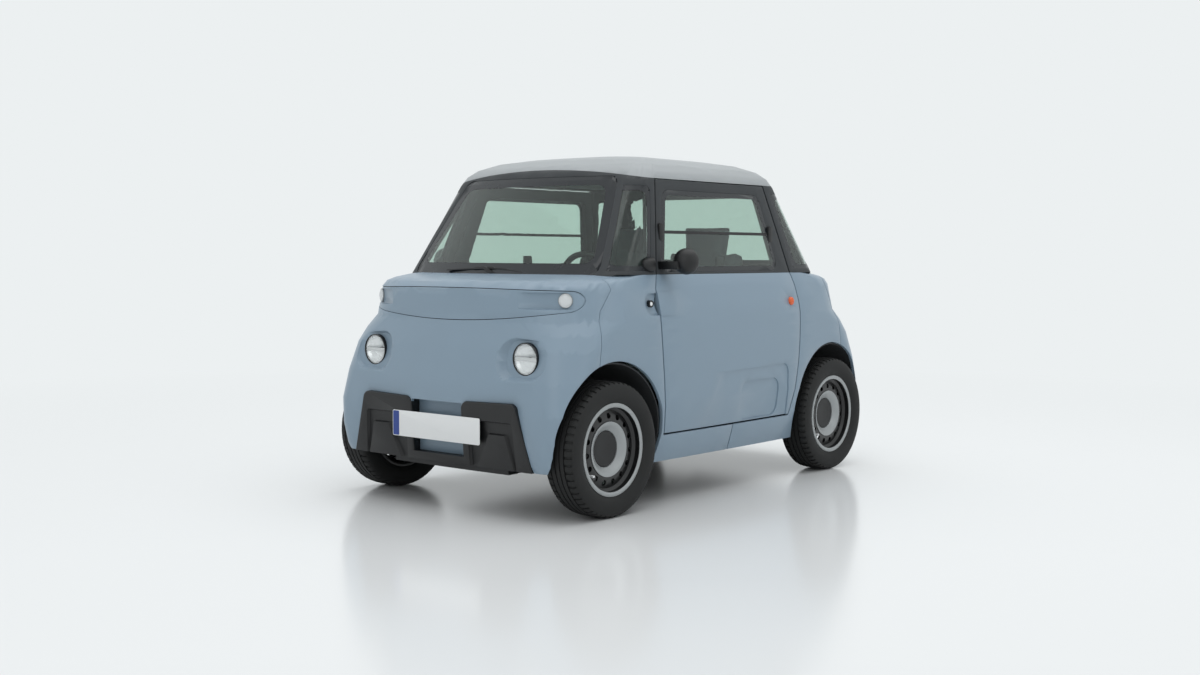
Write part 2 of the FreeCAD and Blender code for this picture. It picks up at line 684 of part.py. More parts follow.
def pocket_form(back, growth):
    """The room of a head lamp's pocket, from behind its floor to ahead of the nose."""
    wires = []
    for along, (across_share, up_share), corner_share in (
            (back, POCKET_FLOOR_SHARES, POCKET_CORNER_SHARES[0]),
            (-size("lamp_depth"), POCKET_MOUTH_SHARES, POCKET_CORNER_SHARES[1])):
        half_across = across_share * half_width + growth
        half_up = up_share * tall + growth
        corners = [Vector(x * half_across, along, z * half_up)
                   for x, z in ((-1, -1), (-1, 1), (1, 1), (1, -1))]
        wires.append(rounded_wire(corners, corner_share * half_width + growth))
    form = Part.makeLoft(wires, True, True)
    form.rotate(ORIGIN, X_AXIS, -size("pocket_lean"))
    form.translate(head_place + Vector(0, rim_wall, 0))
    return form


head_radius, side_radius = size("head_lamp_radius"), size("side_lamp_radius")
pocket_wall = pocket_form(size("pocket_back"), size("pocket_back"))
pocket_walls = [form.common(outer_lower) for form in both_sides(pocket_wall)]
front_moulding = front_moulding.fuse(pocket_walls).cut(both_sides(pocket_form(0, 0)))
front_moulding = front_moulding.cut(both_sides(lamp_hole(head_place, head_radius, 0)) + tyre_rooms)
side_holes = both_sides(lamp_hole(side_place, side_radius, side_lamp_turn))
band_panel = band_panel.cut(side_holes)
front_lamps = Part.makeCompound(both_sides(lamp(head_place, head_radius, 0))
                                + both_sides(lamp(side_place, side_radius, side_lamp_turn)))
for end_name, turn in (("front", 0), ("rear", HALF_TURN)):
    add_shape(end_name + "_moulding", front_moulding, turn)
    add_shape(end_name + "_band_panel", band_panel, turn)
    add_shape(end_name + "_bumper_insert", bumper_insert, turn)
    add_shape(end_name + "_lamps", front_lamps, turn)
plate = block((-size("plate_width") / 2, plate_back - size("plate_thickness"), size("plate_bottom")),
              (size("plate_width") / 2, plate_back, size("plate_bottom") + size("plate_height")))
add_shape("number_plates", Part.makeCompound([plate, turned(plate)]))

# The hand grip in the quarter panel beside the door's free edge: a shallow pocket and, at the
# edge itself, a half-moon opening for the fingers.
grip = side_prism(GRIP_SHARES, tube).cut(moved(outer_lower, -size("grip_depth")))
finger_hole = Part.makeCylinder(FINGER_SHARES[2] * half_width, half_width,
                                Vector(half_width / 2, FINGER_SHARES[0] * half_length,
                                       FINGER_SHARES[1] * tall), X_AXIS)
side_front_left = side_front_left.cut([grip, finger_hole])
add_shape("side_panel_front_left", side_front_left)
add_shape("side_panel_rear_left", side_rear_left)
add_shape("side_panel_front_right", side_rear_left, HALF_TURN)
add_shape("side_panel_rear_right", side_front_left, HALF_TURN)

# Glasshouse: roof, screen frames, glass.
def roof_room():
    """Everything above the roof's lower edge, which arches over the screens."""
    low = front_points(ROOF_SEAM_SHARES, -half_length)
    high = [Vector(point.x, point.y, top_limit) for point in (low[2], low[0])]
    corners = [low[2]] + high + [low[0]]
    sides = [Part.LineSegment(first, second).toShape() for first, second in zip(corners, corners[1:])]
    return prism([Part.Arc(*low).toShape()] + sides, Vector(0, 2 * half_length, 0))


roof_space = roof_room()
upper_shell = outer_upper.cut(inner_upper).common(above_base(0))
roof_panel = upper_shell.common(roof_space)
frames = upper_shell.cut(roof_space).cut(door_cut).cut(turned(door_cut))
front_frame = frames.common(front_half)
rear_frame = frames.cut(front_half)
behind_glass = upper_form(size("glass_inset") + size("glass_thickness") + seat)
glass_skin = upper_form(size("glass_inset")).cut(upper_form(size("glass_inset") + size("glass_thickness")))


def glaze(frame, space, opening):
    """A frame with a rebate for a pane and an opening behind it."""
    return frame.cut(space.cut(behind_glass)).cut(opening)


lap = size("glass_lap")
panes = {}
for label, view, shares, corner, side in (
        ("windscreen", front_prism, WINDSCREEN_SHARES, size("screen_corner"), -1),
        ("rear_window", front_prism, REAR_WINDOW_SHARES, size("screen_corner"), 1)):
    space = view(shares, corner, 0, side)
    opening = view(shares, corner, -lap, side)
    pane = glass_skin.common(view(shares, corner, -seat, side)).common(above_base(seat))
    if side < 0:
        front_frame = glaze(front_frame, space, opening)
    else:
        rear_frame = glaze(rear_frame, space, opening)
    panes[label] = pane
quarter_panes = []
screen_room = front_prism(WINDSCREEN_SHARES, size("screen_corner"), size("pillar_width"), -1)
screen_room = screen_room.fuse(front_prism(WINDSCREEN_SHARES, size("screen_corner"), size("pillar_width"), 1))
for shares, side in ((QUARTER_FRONT_SHARES, 1), (QUARTER_REAR_SHARES, 1),
                     (QUARTER_FRONT_SHARES, -1), (QUARTER_REAR_SHARES, -1)):
    corner = size("quarter_corner")
    space = side_prism(shares, corner).cut(screen_room)
    opening = side_prism(shares, corner, -size("quarter_lap")).cut(screen_room)
    pane = glass_skin.common(side_prism(shares, corner, -seat)).cut(screen_room)
    if side < 0:
        space, opening, pane = turned(space), turned(opening), turned(pane)
    front_frame = glaze(front_frame, space, opening)
    rear_frame = glaze(rear_frame, space, opening)
    quarter_panes.append(pane)
add_shape("roof_panel", roof_panel)
add_shape("windscreen_frame", front_frame)
add_shape("rear_window_frame", rear_frame)
add_shape("windscreen", panes["windscreen"])
add_shape("rear_window", panes["rear_window"])
add_shape("quarter_windows", Part.makeCompound(quarter_panes))

# Doors. The panel is pressed in towards its lower rear corner, with a sunk square, and has a
# raised pad where the hand closes on the grip. Its hinge edge is thin, to clear the side panel.
door_panel = outer_lower.common(door_space).common(below_belt)
door_panel = door_panel.cut(lower_form(size("door_depth"), True))
hinge_edge = door_prism()
hinge_edge.translate(Vector(0, -size("door_flange_run"), 0))
thin_edge = door_space.cut(hinge_edge).cut(front_half).common(lower_form(size("door_flange"), True))
door_panel = door_panel.cut(thin_edge)
press_start = Vector(half_width, DOOR_PRESS_SHARES[0][0] * half_length, 0)
press_run = (DOOR_PRESS_SHARES[3][0] - DOOR_PRESS_SHARES[0][0]) * half_length
pressed = outer_lower.copy()
pressed.rotate(press_start, Z_AXIS, math.degrees(size("door_press") / press_run))
door_panel = door_panel.cut(side_prism(DOOR_PRESS_SHARES, size("window_corner")).cut(pressed))
sunk = moved(pressed, -size("door_square_depth"))
door_panel = door_panel.cut(side_prism(DOOR_SQUARE_SHARES, size("window_corner")).cut(sunk))
pad = lower_form(-size("door_pad_proud")).common(side_prism(DOOR_PAD_SHARES, tube)).common(door_space)
door_panel = door_panel.fuse(pad.cut(lower_form(wall)))
marker_base = Vector(half_width / 2, MARKER_SHARES[0] * half_length, MARKER_SHARES[1] * tall)
marker = Part.makeCylinder(size("marker_radius"), half_width, marker_base, X_AXIS)
marker = marker.common(lower_form(-size("marker_proud"))).cut(lower_form(size("marker_proud") / 2))
marker_seat = Part.makeCylinder(size("marker_radius") + seat, half_width, marker_base, X_AXIS)
door_panel = door_panel.cut(marker_seat.cut(lower_form(size("marker_proud") / 2 + seat)))
door_frame = outer_upper.cut(inner_upper).common(door_space).cut(below_belt)
door_glass = glass_skin.common(side_prism(DOOR_WINDOW_SHARES, size("window_corner"), -seat))
door_frame = door_frame.cut(side_prism(DOOR_WINDOW_SHARES, size("window_corner")).cut(behind_glass))
door_frame = door_frame.cut(side_prism(DOOR_WINDOW_SHARES, size("window_corner"), -size("quarter_lap")))
bar_height = WINDOW_BAR_SHARE * tall
bar_cut = block((0, -half_length, bar_height - size("window_bar_radius")),
                (half_width, half_length, bar_height + size("window_bar_radius")))
door_glass = door_glass.cut(bar_cut)
for side_name, turn in (("left", 0), ("right", HALF_TURN)):
    add_shape("door_panel_" + side_name, door_panel, turn)
    add_shape("door_frame_" + side_name, door_frame, turn)
    add_shape("door_glass_" + side_name, door_glass, turn)
    add_shape("side_marker_" + side_name, marker, turn)


def rod(start, end, radius):
    """A round bar between two points."""
    start, end = Vector(*start), Vector(*end)
    return Part.makeCylinder(radius, (end - start).Length, start, end - start)


def plan_bar(start, end, width, low, high):
    """A flat bar between two places in plan, with round ends."""
    first, last = Vector(start[0], start[1], low), Vector(end[0], end[1], low)
    across = (last - first).normalize().cross(Z_AXIS) * (width / 2)
    corners = [first + across, last + across, last - across, first - across]
    bar = prism(polygon_edges(corners), Vector(0, 0, high - low))
    for place in (first, last):
        bar = bar.fuse(Part.makeCylinder(width / 2, high - low, place))
    return bar


# Wheels. Tyre and steel wheel are turned profiles about X, their outer face towards +X.
def origin_plane(body, role):
    """One of the body's own planes or axes, by its role."""
    return next(item for item in body.Origin.OriginFeatures if item.Role == role)


def bound_outline(body, name, corners):
    """A closed sketch of straight runs on the body's XZ plane, each corner tied to the sheet."""
    sketch = body.newObject("Sketcher::SketchObject", name)
    sketch.AttachmentSupport = (origin_plane(body, "XZ_Plane"), [""])
    sketch.MapMode = "FlatFace"
    values = [[float(sketch.evalExpression(text)) for text in pair] for pair in corners]
    points = [Vector(across, up, 0) for across, up in values]
    count = len(points)
    sketch.addGeometry([Part.LineSegment(points[i], points[(i + 1) % count]) for i in range(count)])
    sketch.addConstraint([Sketcher.Constraint("Coincident", i, 2, (i + 1) % count, 1) for i in range(count)])
    for i, pair in enumerate(corners):
        for kind, text, value in zip(("DistanceX", "DistanceY"), pair, values[i]):
            at = sketch.addConstraint(Sketcher.Constraint(kind, -1, 1, i, 1, value))
            sketch.setExpression("Constraints[%d]" % at, text)
    sketch.Visibility = False
    return sketch


def turned_body(label, corners):
    """A body turned about the X axis from an outline of distances along and from that axis."""
    body = doc.addObject("PartDesign::Body", label)
    body.Label = label
    sketch = bound_outline(body, label + "_profile", corners)
    turn = body.newObject("PartDesign::Revolution", label + "_turn")
    turn.Profile = sketch
    turn.ReferenceAxis = (sketch, ["H_Axis"])
    turn.Angle = 360
    return body


def both_ways(half):
    """An outline from one half of it: the half, then its mirror image in reverse order."""
    return half + tuple(("-(%s)" % across, up) for across, up in reversed(half))


LIP = "Sizes.rim_width / 2 + Sizes.rim_wall"
BEAD = "Sizes.rim_width / 2"
FLANGE = "Sizes.rim_flange_radius"
SEAT = "(Sizes.rim_flange_radius - Sizes.rim_lip)"
WELL = "(Sizes.rim_flange_radius - Sizes.rim_lip - Sizes.rim_well_depth)"
INSIDE = " - Sizes.rim_wall"
TYRE_OUTSIDE = (
    (BEAD, SEAT),
    (BEAD, FLANGE),
    ("Sizes.tyre_width / 2", "Sizes.tyre_diameter * 0.41"),
    ("Sizes.tyre_width * 0.48", "Sizes.tyre_diameter * 0.47"),
    ("Sizes.tyre_width * %s" % TREAD_SHARE, "Sizes.tyre_diameter / 2"),
)
TYRE_INSIDE = (
    ("Sizes.rim_width / 2 - Sizes.tyre_wall", SEAT),
    ("Sizes.tyre_width / 2 - Sizes.tyre_wall", "Sizes.tyre_diameter * 0.42"),
    ("Sizes.tyre_width * 0.36", "Sizes.tyre_diameter / 2 - Sizes.tyre_wall"),
)
TYRE_OUTLINE = both_ways(TYRE_OUTSIDE) + both_ways(TYRE_INSIDE)[::-1]
RIM_OUTLINE = (
    ("-Sizes.stub_inner", "0"), ("-Sizes.stub_inner", "Sizes.stub_radius"),
    ("Sizes.rim_wall", "Sizes.stub_radius"), ("Sizes.rim_wall", "Sizes.hub_radius"),
    ("Sizes.rim_wall * 6", "Sizes.disc_radius"), ("Sizes.rim_wall * 4.6", WELL + INSIDE),
    ("-Sizes.rim_wall * 5.4", WELL + INSIDE), ("-Sizes.rim_wall * 7.4", SEAT + INSIDE),
    ("-(" + LIP + ")", SEAT + INSIDE), ("-(" + LIP + ")", FLANGE), ("-(" + BEAD + ")", FLANGE),
    ("-(" + BEAD + ")", SEAT), ("-Sizes.rim_wall * 6.6", SEAT), ("-Sizes.rim_wall * 4.6", WELL),
    ("Sizes.rim_wall * 5", WELL), ("Sizes.rim_wall * 7", SEAT), (BEAD, SEAT), (BEAD, FLANGE),
    (LIP, FLANGE), (LIP, SEAT + INSIDE), ("Sizes.rim_wall * 7.4", SEAT + INSIDE),
    ("Sizes.rim_wall * 6", WELL + INSIDE), ("Sizes.rim_wall * 7.5", "Sizes.disc_radius"),
    ("Sizes.rim_wall * 2.6", "Sizes.hub_radius"), ("Sizes.rim_wall * 2.6", "0"),
)
HOLE_CIRCLE = "(Sizes.disc_radius + " + WELL + ") / 2"


def drill_ring(body, label):
    """A ring of round holes through the wheel disc."""
    sketch = body.newObject("Sketcher::SketchObject", label + "_hole")
    sketch.AttachmentSupport = (origin_plane(body, "YZ_Plane"), [""])
    sketch.MapMode = "FlatFace"
    ring_radius = float(sketch.evalExpression(HOLE_CIRCLE))
    circle = sketch.addGeometry(Part.Circle(Vector(0, ring_radius, 0), Z_AXIS, size("hole_radius")))
    sketch.addConstraint(Sketcher.Constraint("PointOnObject", circle, 3, -2))
    up = sketch.addConstraint(Sketcher.Constraint("DistanceY", -1, 1, circle, 3, ring_radius))
    sketch.setExpression("Constraints[%d]" % up, HOLE_CIRCLE)
    wide = sketch.addConstraint(Sketcher.Constraint("Radius", circle, size("hole_radius")))
    sketch.setExpression("Constraints[%d]" % wide, "Sizes.hole_radius")
    sketch.Visibility = False
    pocket = body.newObject("PartDesign::Pocket", label + "_holes")
    pocket.Profile = sketch
    pocket.Midplane = True
    pocket.setExpression("Length", "Sizes.rim_width")
    doc.recompute()
    pattern = body.newObject("PartDesign::PolarPattern", label + "_ring")
    pattern.Originals = [pocket]
    pattern.Axis = (origin_plane(body, "X_Axis"), [""])
    pattern.Angle = 360
    pattern.Occurrences = int(size("hole_count_share"))
    body.Tip = pattern


def place_wheel(body, side, end):
    """Sets a wheel piece at its corner of the car, its outer face outwards."""
    turn = 0 if side > 0 else HALF_TURN
    body.Placement = FreeCAD.Placement(Vector(side * track_side, end * axle, tyre_radius),
                                       FreeCAD.Rotation(Z_AXIS, turn))
    body.setExpression("Placement.Base.x", "%d * (Sizes.overall_width - Sizes.tyre_width) / 2" % side)
    body.setExpression("Placement.Base.y", "%d * Sizes.wheelbase / 2" % end)
    body.setExpression("Placement.Base.z", "Sizes.tyre_diameter / 2")
    parts.append(body)


for corner_name, side, end in (("front_left", 1, -1), ("front_right", -1, -1),
                               ("rear_left", 1, 1), ("rear_right", -1, 1)):
    tyre = turned_body("tyre_" + corner_name, TYRE_OUTLINE)
    rim = turned_body("rim_" + corner_name, RIM_OUTLINE)
    doc.recompute()
    drill_ring(rim, "rim_" + corner_name)
    place_wheel(tyre, side, end)
    place_wheel(rim, side, end)
doc.recompute()

# Steering swivels. The kingpin line runs from the lower ball joint to the strut top, leaning in.
kingpin = (strut_top - low_joint).normalize()


def on_kingpin(height):
    """The point of the kingpin line at one height."""
    return low_joint + kingpin * ((height - low_joint.z) / kingpin.z)


def at_hub(side, up=0, behind=0):
    """A point beside the front wheel's centre, at one distance from the car's middle."""
    return Vector(side, behind - axle, tyre_radius + up)


carrier_inner = track_side - size("stub_inner") - rim_wall
carrier_outer = track_side - rim_wall
carrier_radius = size("carrier_radius")
cup_radius = size("cup_radius")
cup_centre = on_kingpin(tyre_radius)
arm_root = carrier_inner + 2 * rim_wall
pin_radius = size("joint_pin_radius")
tie_pin = size("tie_pin_radius")
strut_radius = size("strut_tube_radius")
eye = on_kingpin(tyre_radius - tube * 0.4) + Vector(0, size("steer_arm_reach"), 0)
tube_top = on_kingpin(size("strut_top_height") - tube * 1.5)
knuckle = rod(at_hub(carrier_inner), at_hub(carrier_outer), carrier_radius)
knuckle = knuckle.fuse([
    rod(cup_centre, at_hub(carrier_inner + rim_wall), cup_radius + tube / 4),
    rod(on_kingpin(low_joint.z + rim_wall / 2),
        on_kingpin(low_joint.z + tube * 0.7), pin_radius * 2),
    rod(at_hub(arm_root, -carrier_radius / 2), on_kingpin(low_joint.z + tube / 2),
        pin_radius * 1.7),
    rod(on_kingpin(tyre_radius + carrier_radius * 2), tube_top, strut_radius),
    rod(at_hub(arm_root, carrier_radius / 2), on_kingpin(tyre_radius + carrier_radius * 2.6),
        strut_radius * 0.8),
    rod(eye - kingpin * (tube / 4), eye + kingpin * (tube / 4), tie_pin * 2.2),
    rod(at_hub(arm_root, eye.z - tyre_radius, carrier_radius / 2), eye - Vector(0, tie_pin, 0),
        tie_pin * 1.3),
])
knuckle = knuckle.cut([
    Part.makeSphere(cup_radius + seat, cup_centre, X_AXIS),
    rod(at_hub(carrier_inner - tube), at_hub(carrier_outer + tube), size("stub_radius") + clear),
    rod(cup_centre - Vector(tube, 0, 0), cup_centre, cup_radius * 2),
    rod(on_kingpin(0), on_kingpin(low_joint.z + tube * 0.5), pin_radius + clear),
    rod(eye - kingpin * tube, eye + kingpin * tube, tie_pin + clear),
])
knuckle = knuckle.fuse(rod(tube_top, on_kingpin(size("strut_top_height") + tube / 3),
                           size("strut_rod_radius")))
rod_end = eye + kingpin * (tube * 0.6)
tie_rod = Part.makeSphere(tie_pin * 1.9, rod_end)
tie_rod = tie_rod.fuse([
    rod(eye - kingpin * (tube * 0.32), rod_end, tie_pin),
    rod(rod_end, Vector(size("tie_rod_inner"), rod_end.y, rod_end.z), size("tie_rod_radius")),
])
for side_name, pieces in (("left", (knuckle, tie_rod)), ("right", (mirrored(knuckle), mirrored(tie_rod)))):
    add_shape("knuckle_" + side_name, pieces[0])
    add_shape("tie_rod_" + side_name, pieces[1])

# Front suspension: flat lower arms with the swivel pins, and the strut mounts under the liners.
arm_high = size("rail_bottom") - seat
arm_low = arm_high - size("liner_wall") * 2
arm_tip = on_kingpin(arm_high).x + tube / 3
arm_reach = tube * 2.8


def arm_outline(inset):
    """The lower arm's outline in plan, or the outline of its window."""
    near, far = size("rail_side") - tube + inset * 1.9, arm_tip - inset * 1.9
    return [Vector(near, inset * 1.5 - axle - arm_reach, arm_low),
            Vector(far, inset * 0.4 - axle - tube / 2, arm_low),
            Vector(far, tube / 2 - inset * 0.4 - axle, arm_low),
            Vector(near, arm_reach - inset * 1.5 - axle, arm_low)]


arm_rise = Vector(0, 0, arm_high - arm_low)
lower_arm = prism(polygon_edges(arm_outline(0)), arm_rise)
lower_arm = lower_arm.cut(prism(polygon_edges(arm_outline(tube * 0.8)), arm_rise))
lower_arm = lower_arm.fuse(rod(on_kingpin(arm_low + rim_wall),
                               on_kingpin(low_joint.z + tube * 0.4), pin_radius))
liner_radius = arch_radius + size("liner_room")
inside_liner = Part.makeCylinder(liner_radius, half_width, Vector(0, -axle, size("liner_height")), X_AXIS)
top_mount = rod(on_kingpin(size("strut_top_height") - rim_wall),
                on_kingpin(size("strut_top_height") + 2 * tube), carrier_radius).common(inside_liner)
top_mount = top_mount.cut(rod(tube_top, on_kingpin(size("strut_top_height") + tube * 0.45),
                              size("strut_rod_radius") + clear))
add_shape("front_suspension", Part.makeCompound(both_sides(lower_arm) + both_sides(top_mount)))

# Steering rack across the car behind the front axle, with wide gaiters open at the ends.
rack_y = rod_end.y - tie_pin
rack_reach = size("rail_side") + tube * 1.5
rack = rod(Vector(-rack_reach, rack_y, rod_end.z), Vector(rack_reach, rack_y, rod_end.z),
           size("gaiter_bore") + size("gaiter_wall"))
foot_y = size("gaiter_bore")
for sign in (-1, 1):
    foot_side = sign * (size("rail_side") - size("rail_width") / 2)
    rack = rack.fuse(block((foot_side - tube / 2, rack_y - foot_y, size("floor_height") + seat),
                           (foot_side + tube / 2, rack_y + foot_y, rod_end.z)))
for sign in (-1, 1):
    rack = rack.cut(rod(Vector(sign * (size("tie_rod_inner") - 2 * tube), rack_y, rod_end.z),
                        Vector(sign * (rack_reach + tube), rack_y, rod_end.z), size("gaiter_bore")))
add_shape("steering_rack", rack)

# Drive unit between the front wheels, its half shafts ending in the swivels' cups.
drive = block((-4 * tube, -axle - tube * 2.5, size("floor_height") + seat),
              (4 * tube, -axle + tube * 1.5, size("floor_height") + 6 * tube))
half_shaft = rod(at_hub(4 * tube), cup_centre, size("shaft_radius"))
half_shaft = half_shaft.fuse(Part.makeSphere(cup_radius, cup_centre, X_AXIS))
add_shape("drive_unit", drive.fuse([half_shaft, mirrored(half_shaft)]))

# Rear axle: a beam with wheel carriers, trailing arms and dampers.
beam_height = size("floor_height") + tube * 0.6 + seat
damper_side = size("liner_side") + 2 * tube
damper_top = Vector(size("liner_side") + tube * 1.6, axle, size("strut_top_height") - tube)
rear_half = rod(Vector(carrier_inner, axle, tyre_radius), Vector(carrier_outer, axle, tyre_radius),
                carrier_radius)
rear_half = rear_half.fuse([
    rod(Vector(0, axle, beam_height), Vector(carrier_inner + rim_wall, axle, beam_height), tube * 0.6),
    rod(Vector(damper_side, axle, beam_height),
        Vector(damper_side, axle - tube * 4.5, size("floor_height") + tube * 0.45 + seat),
        tube * 0.45),
    rod(Vector(damper_side, axle, beam_height), damper_top, strut_radius),
    rod(damper_top, damper_top + Vector(0, 0, 4 * tube),
        size("strut_rod_radius")).common(flipped(inside_liner)),
])
rear_half = rear_half.cut(rod(Vector(carrier_inner - rim_wall, axle, tyre_radius),
                              Vector(carrier_outer + tube, axle, tyre_radius), size("stub_radius") + clear))
add_shape("rear_axle", rear_half.fuse(mirrored(rear_half)))

# Wheelhouse liners: an arched sheet and its inner side wall, seated in the panels.
seated_lower = lower_form(wall + seat)
liner_outer = liner_radius + size("liner_wall")


def wheel_drum(end, radius, near, length):
    """A drum about a wheel's arch centre, from one distance from the middle outwards."""
    return Part.makeCylinder(radius, length, Vector(near, end * axle, size("liner_height")), X_AXIS)


def liner(end):
    """One wheelhouse on the left side, at the front (-1) or the rear (1)."""
    arch = wheel_drum(end, liner_outer, size("liner_side"), half_width)
    arch = arch.cut(wheel_drum(end, liner_radius, 0, 2 * half_width))
    outer_end = sorted((end * (axle + liner_radius * 0.86), end * (half_length + over)))
    arch = arch.cut(block((0, outer_end[0], 0), (half_width, outer_end[1], belt)))
    side_wall = wheel_drum(end, liner_outer, size("liner_side"), size("liner_wall"))
    side_wall = side_wall.cut(block((0, -half_length, -over),
                                    (half_width, half_length, size("liner_height") + tube)))
    wheelhouse = arch.fuse(side_wall)
    foot = block((0, -half_length, -over), (half_width, half_length, size("floor_height")))
    return wheelhouse.cut(foot).common(seated_lower)


pod_rooms = [form.cut(lower_form(size("bumper_reach") + seat)) for form in pod_seats]
pod_rooms += [turned(room) for room in pod_rooms]
liners = [piece.cut(pod_rooms) for end in (-1, 1) for piece in both_sides(liner(end))]
add_shape("wheelhouse_liners", Part.makeCompound(liners))

# Floor with the bulkheads ahead of and behind the cabin and the shelf under the rear window.
floor_low = size("floor_height")
floor_high = floor_low + size("floor_wall")
wheel_room = []
for end in (-1, 1):
    low_room = block((size("liner_side") - seat, end * axle - liner_outer - seat, 0),
                     (half_width, end * axle + liner_outer + seat, size("liner_height")))
    wheel_room += both_sides(wheel_drum(end, liner_outer + seat, size("liner_side") - seat, half_width))
    wheel_room += both_sides(low_room)
bulkhead_side = pin_x - tube * 1.4 - seat - wall
bulkhead_front = axle - size("bulkhead_front_offset")
bulkhead_rear = axle - size("bulkhead_rear_offset")
shelf = SHELF_SHARE * tall
floor = block((-half_width, -bulkhead_front, floor_low), (half_width, bulkhead_rear, floor_high))
floor = floor.fuse([
    block((-half_width, -bulkhead_front, floor_low),
          (half_width, size("floor_wall") - bulkhead_front, size("strut_top_height") - seat)),
    block((-bulkhead_side, bulkhead_rear - size("floor_wall"), floor_low),
          (bulkhead_side, bulkhead_rear, shelf)),
    block((-half_width, bulkhead_rear + tube * 1.2, shelf - size("floor_wall")),
          (half_width, half_length, shelf)),
    block((-bulkhead_side, bulkhead_rear - size("floor_wall"), shelf - size("floor_wall")),
          (bulkhead_side, half_length, shelf)),
]).common(seated_lower)
floor = floor.cut(wheel_room)
add_shape("floor_pan", floor)

# Frame: rails, cross members, sills and bumper beams.
rail = block((size("rail_side") - size("rail_width"), -half_length, size("rail_bottom")),
             (size("rail_side"), half_length, floor_low))
members = both_sides(rail)
member_side = size("rail_side") + tube / 5
nose_inset = size("centre_depth") + wall + seat
nose_reach = half_length - nose_inset
for place, wide in ((-nose_reach, member_side), (-axle - tube * 2.8, member_side),
                    (-axle + tube * 4.1, member_side), (-tube, half_width * 0.8),
                    (axle - tube * 5.5, damper_side + tube / 2), (nose_reach - 2 * tube, member_side)):
    members.append(block((-wide, place, size("rail_bottom")), (wide, place + 2 * tube, floor_low)))
for end in (-1, 1):
    near, far = sorted((end * (nose_reach - tube * 1.6), end * half_length))
    members.append(block((-half_width * 0.5, near, size("rail_bottom") + tube / 2),
                         (half_width * 0.5, far, floor_low + 2 * tube)))
sill_run = axle - liner_outer - tube / 2
members += both_sides(block((half_width * 0.78, -sill_run, SILL_SHARE * tall),
                            (half_width, sill_run, floor_low)))
frame = members[0].fuse(members[1:]).common(lower_form(nose_inset))
for side in (-1, 1):
    for end in (-1, 1):
        frame = frame.fuse(Part.makeCylinder(
            size("jack_pad_radius"), size("jack_pad_height") + tube / 4,
            Vector(side * (size("rail_side") - size("rail_width") / 2), end * JACK_SHARE * half_length,
                   size("rail_bottom") - size("jack_pad_height"))))
add_shape("chassis_frame", frame.removeSplitter())

# Door hinges: clevises and pins on a post behind the hinge edge, and swan necks on the door.
eye_half = size("hinge_eye_height") / 2
leaf = size("hinge_leaf")
post = block((pin_x - tube * 1.4, pin_y + tube * 0.5, hinge_heights[0] - tube),
             (half_width, pin_y + tube * 1.3, hinge_heights[1] + tube))
neck_route = ((pin_x, pin_y), (pin_x - size("hinge_neck_depth"), pin_y - tube * 0.3),
              (pin_x - size("hinge_neck_depth"), pin_y - tube * 1.75),
              (pin_x - leaf, pin_y - tube * 3.4), (pin_x + tube, pin_y - tube * 4))
door_end = block((0, 0, 0), (half_width, pin_y - tube * 2.5, belt))
inside_door = lower_form(size("door_depth"), True)
hinge_pieces = []
necks = []
for height in hinge_heights:
    low, high = height - eye_half, height + eye_half
    for leaf_low in (low - seat - leaf, high + seat):
        hinge_pieces.append(block((pin_x - leaf, pin_y - leaf, leaf_low),
                                  (half_width, pin_y + tube * 0.6, leaf_low + leaf)))
    hinge_pieces.append(Part.makeCylinder(size("hinge_pin_radius"), high - low + 2 * leaf,
                                          Vector(pin_x, pin_y, low - leaf)))
    neck = Part.makeCylinder(leaf, high - low, Vector(pin_x, pin_y, low))
    for first, second in zip(neck_route, neck_route[1:]):
        neck = neck.fuse(plan_bar(first, second, leaf, low, high))
    neck = neck.cut(Part.makeCylinder(size("hinge_pin_radius") + clear, 2 * tube,
                                      Vector(pin_x, pin_y, low - tube / 2)))
    neck = neck.cut(door_end).fuse(neck.common(door_end).common(inside_door))
    necks.append(max(neck.Solids, key=lambda item: item.Volume))
hinge_posts = post.fuse(hinge_pieces).common(seated_lower).cut(wheel_room)
add_shape("hinge_posts", Part.makeCompound([hinge_posts, turned(hinge_posts)]))

# Door fittings: hinge necks, the bar across the side glass and its brackets.
window_bar = outer_upper.cut(upper_form(size("glass_inset") + size("glass_thickness")))
window_bar = window_bar.common(side_prism(DOOR_WINDOW_SHARES, size("window_corner"), -seat))
window_bar = window_bar.common(block((0, -half_length, bar_height - size("window_bar_radius") + seat),
                                     (half_width, half_length,
                                      bar_height + size("window_bar_radius") - seat)))
for side_name, turn in (("left", 0), ("right", HALF_TURN)):
    add_shape("door_hinges_" + side_name, Part.makeCompound(necks), turn)
    add_shape("window_bar_" + side_name, window_bar, turn)

# Dashboard with the steering column.
seat_side = SEAT_SIDE_SHARE * half_width
dash_side = DASH_SIDE_SHARE * half_width
dash = prism(polygon_edges(side_points(DASH_SHARES, -dash_side)), Vector(2 * dash_side, 0, 0))
dash = dash.common(seated_lower).cut(wheel_room)
tilt = math.radians(size("column_tilt"))
column_axis = Vector(0, math.cos(tilt), math.sin(tilt))
wheel_centre = Vector(STEERING_WHEEL_SHARES[0] * half_width, -STEERING_WHEEL_SHARES[1] * half_length,
                      STEERING_WHEEL_SHARES[2] * tall)
column = rod(wheel_centre - column_axis * (6 * tube), wheel_centre - column_axis * (1.6 * tube),
             size("column_radius"))
dash = dash.fuse(column).cut(rod(wheel_centre - column_axis * (4 * tube), wheel_centre,
                                 size("column_shaft_radius") + clear))
add_shape("dashboard", dash)
ring = Part.makeTorus(size("steering_wheel_radius"), size("steering_wheel_section"),
                      wheel_centre, column_axis)
hub = rod(wheel_centre - column_axis * tube, wheel_centre, tube)
spokes = []
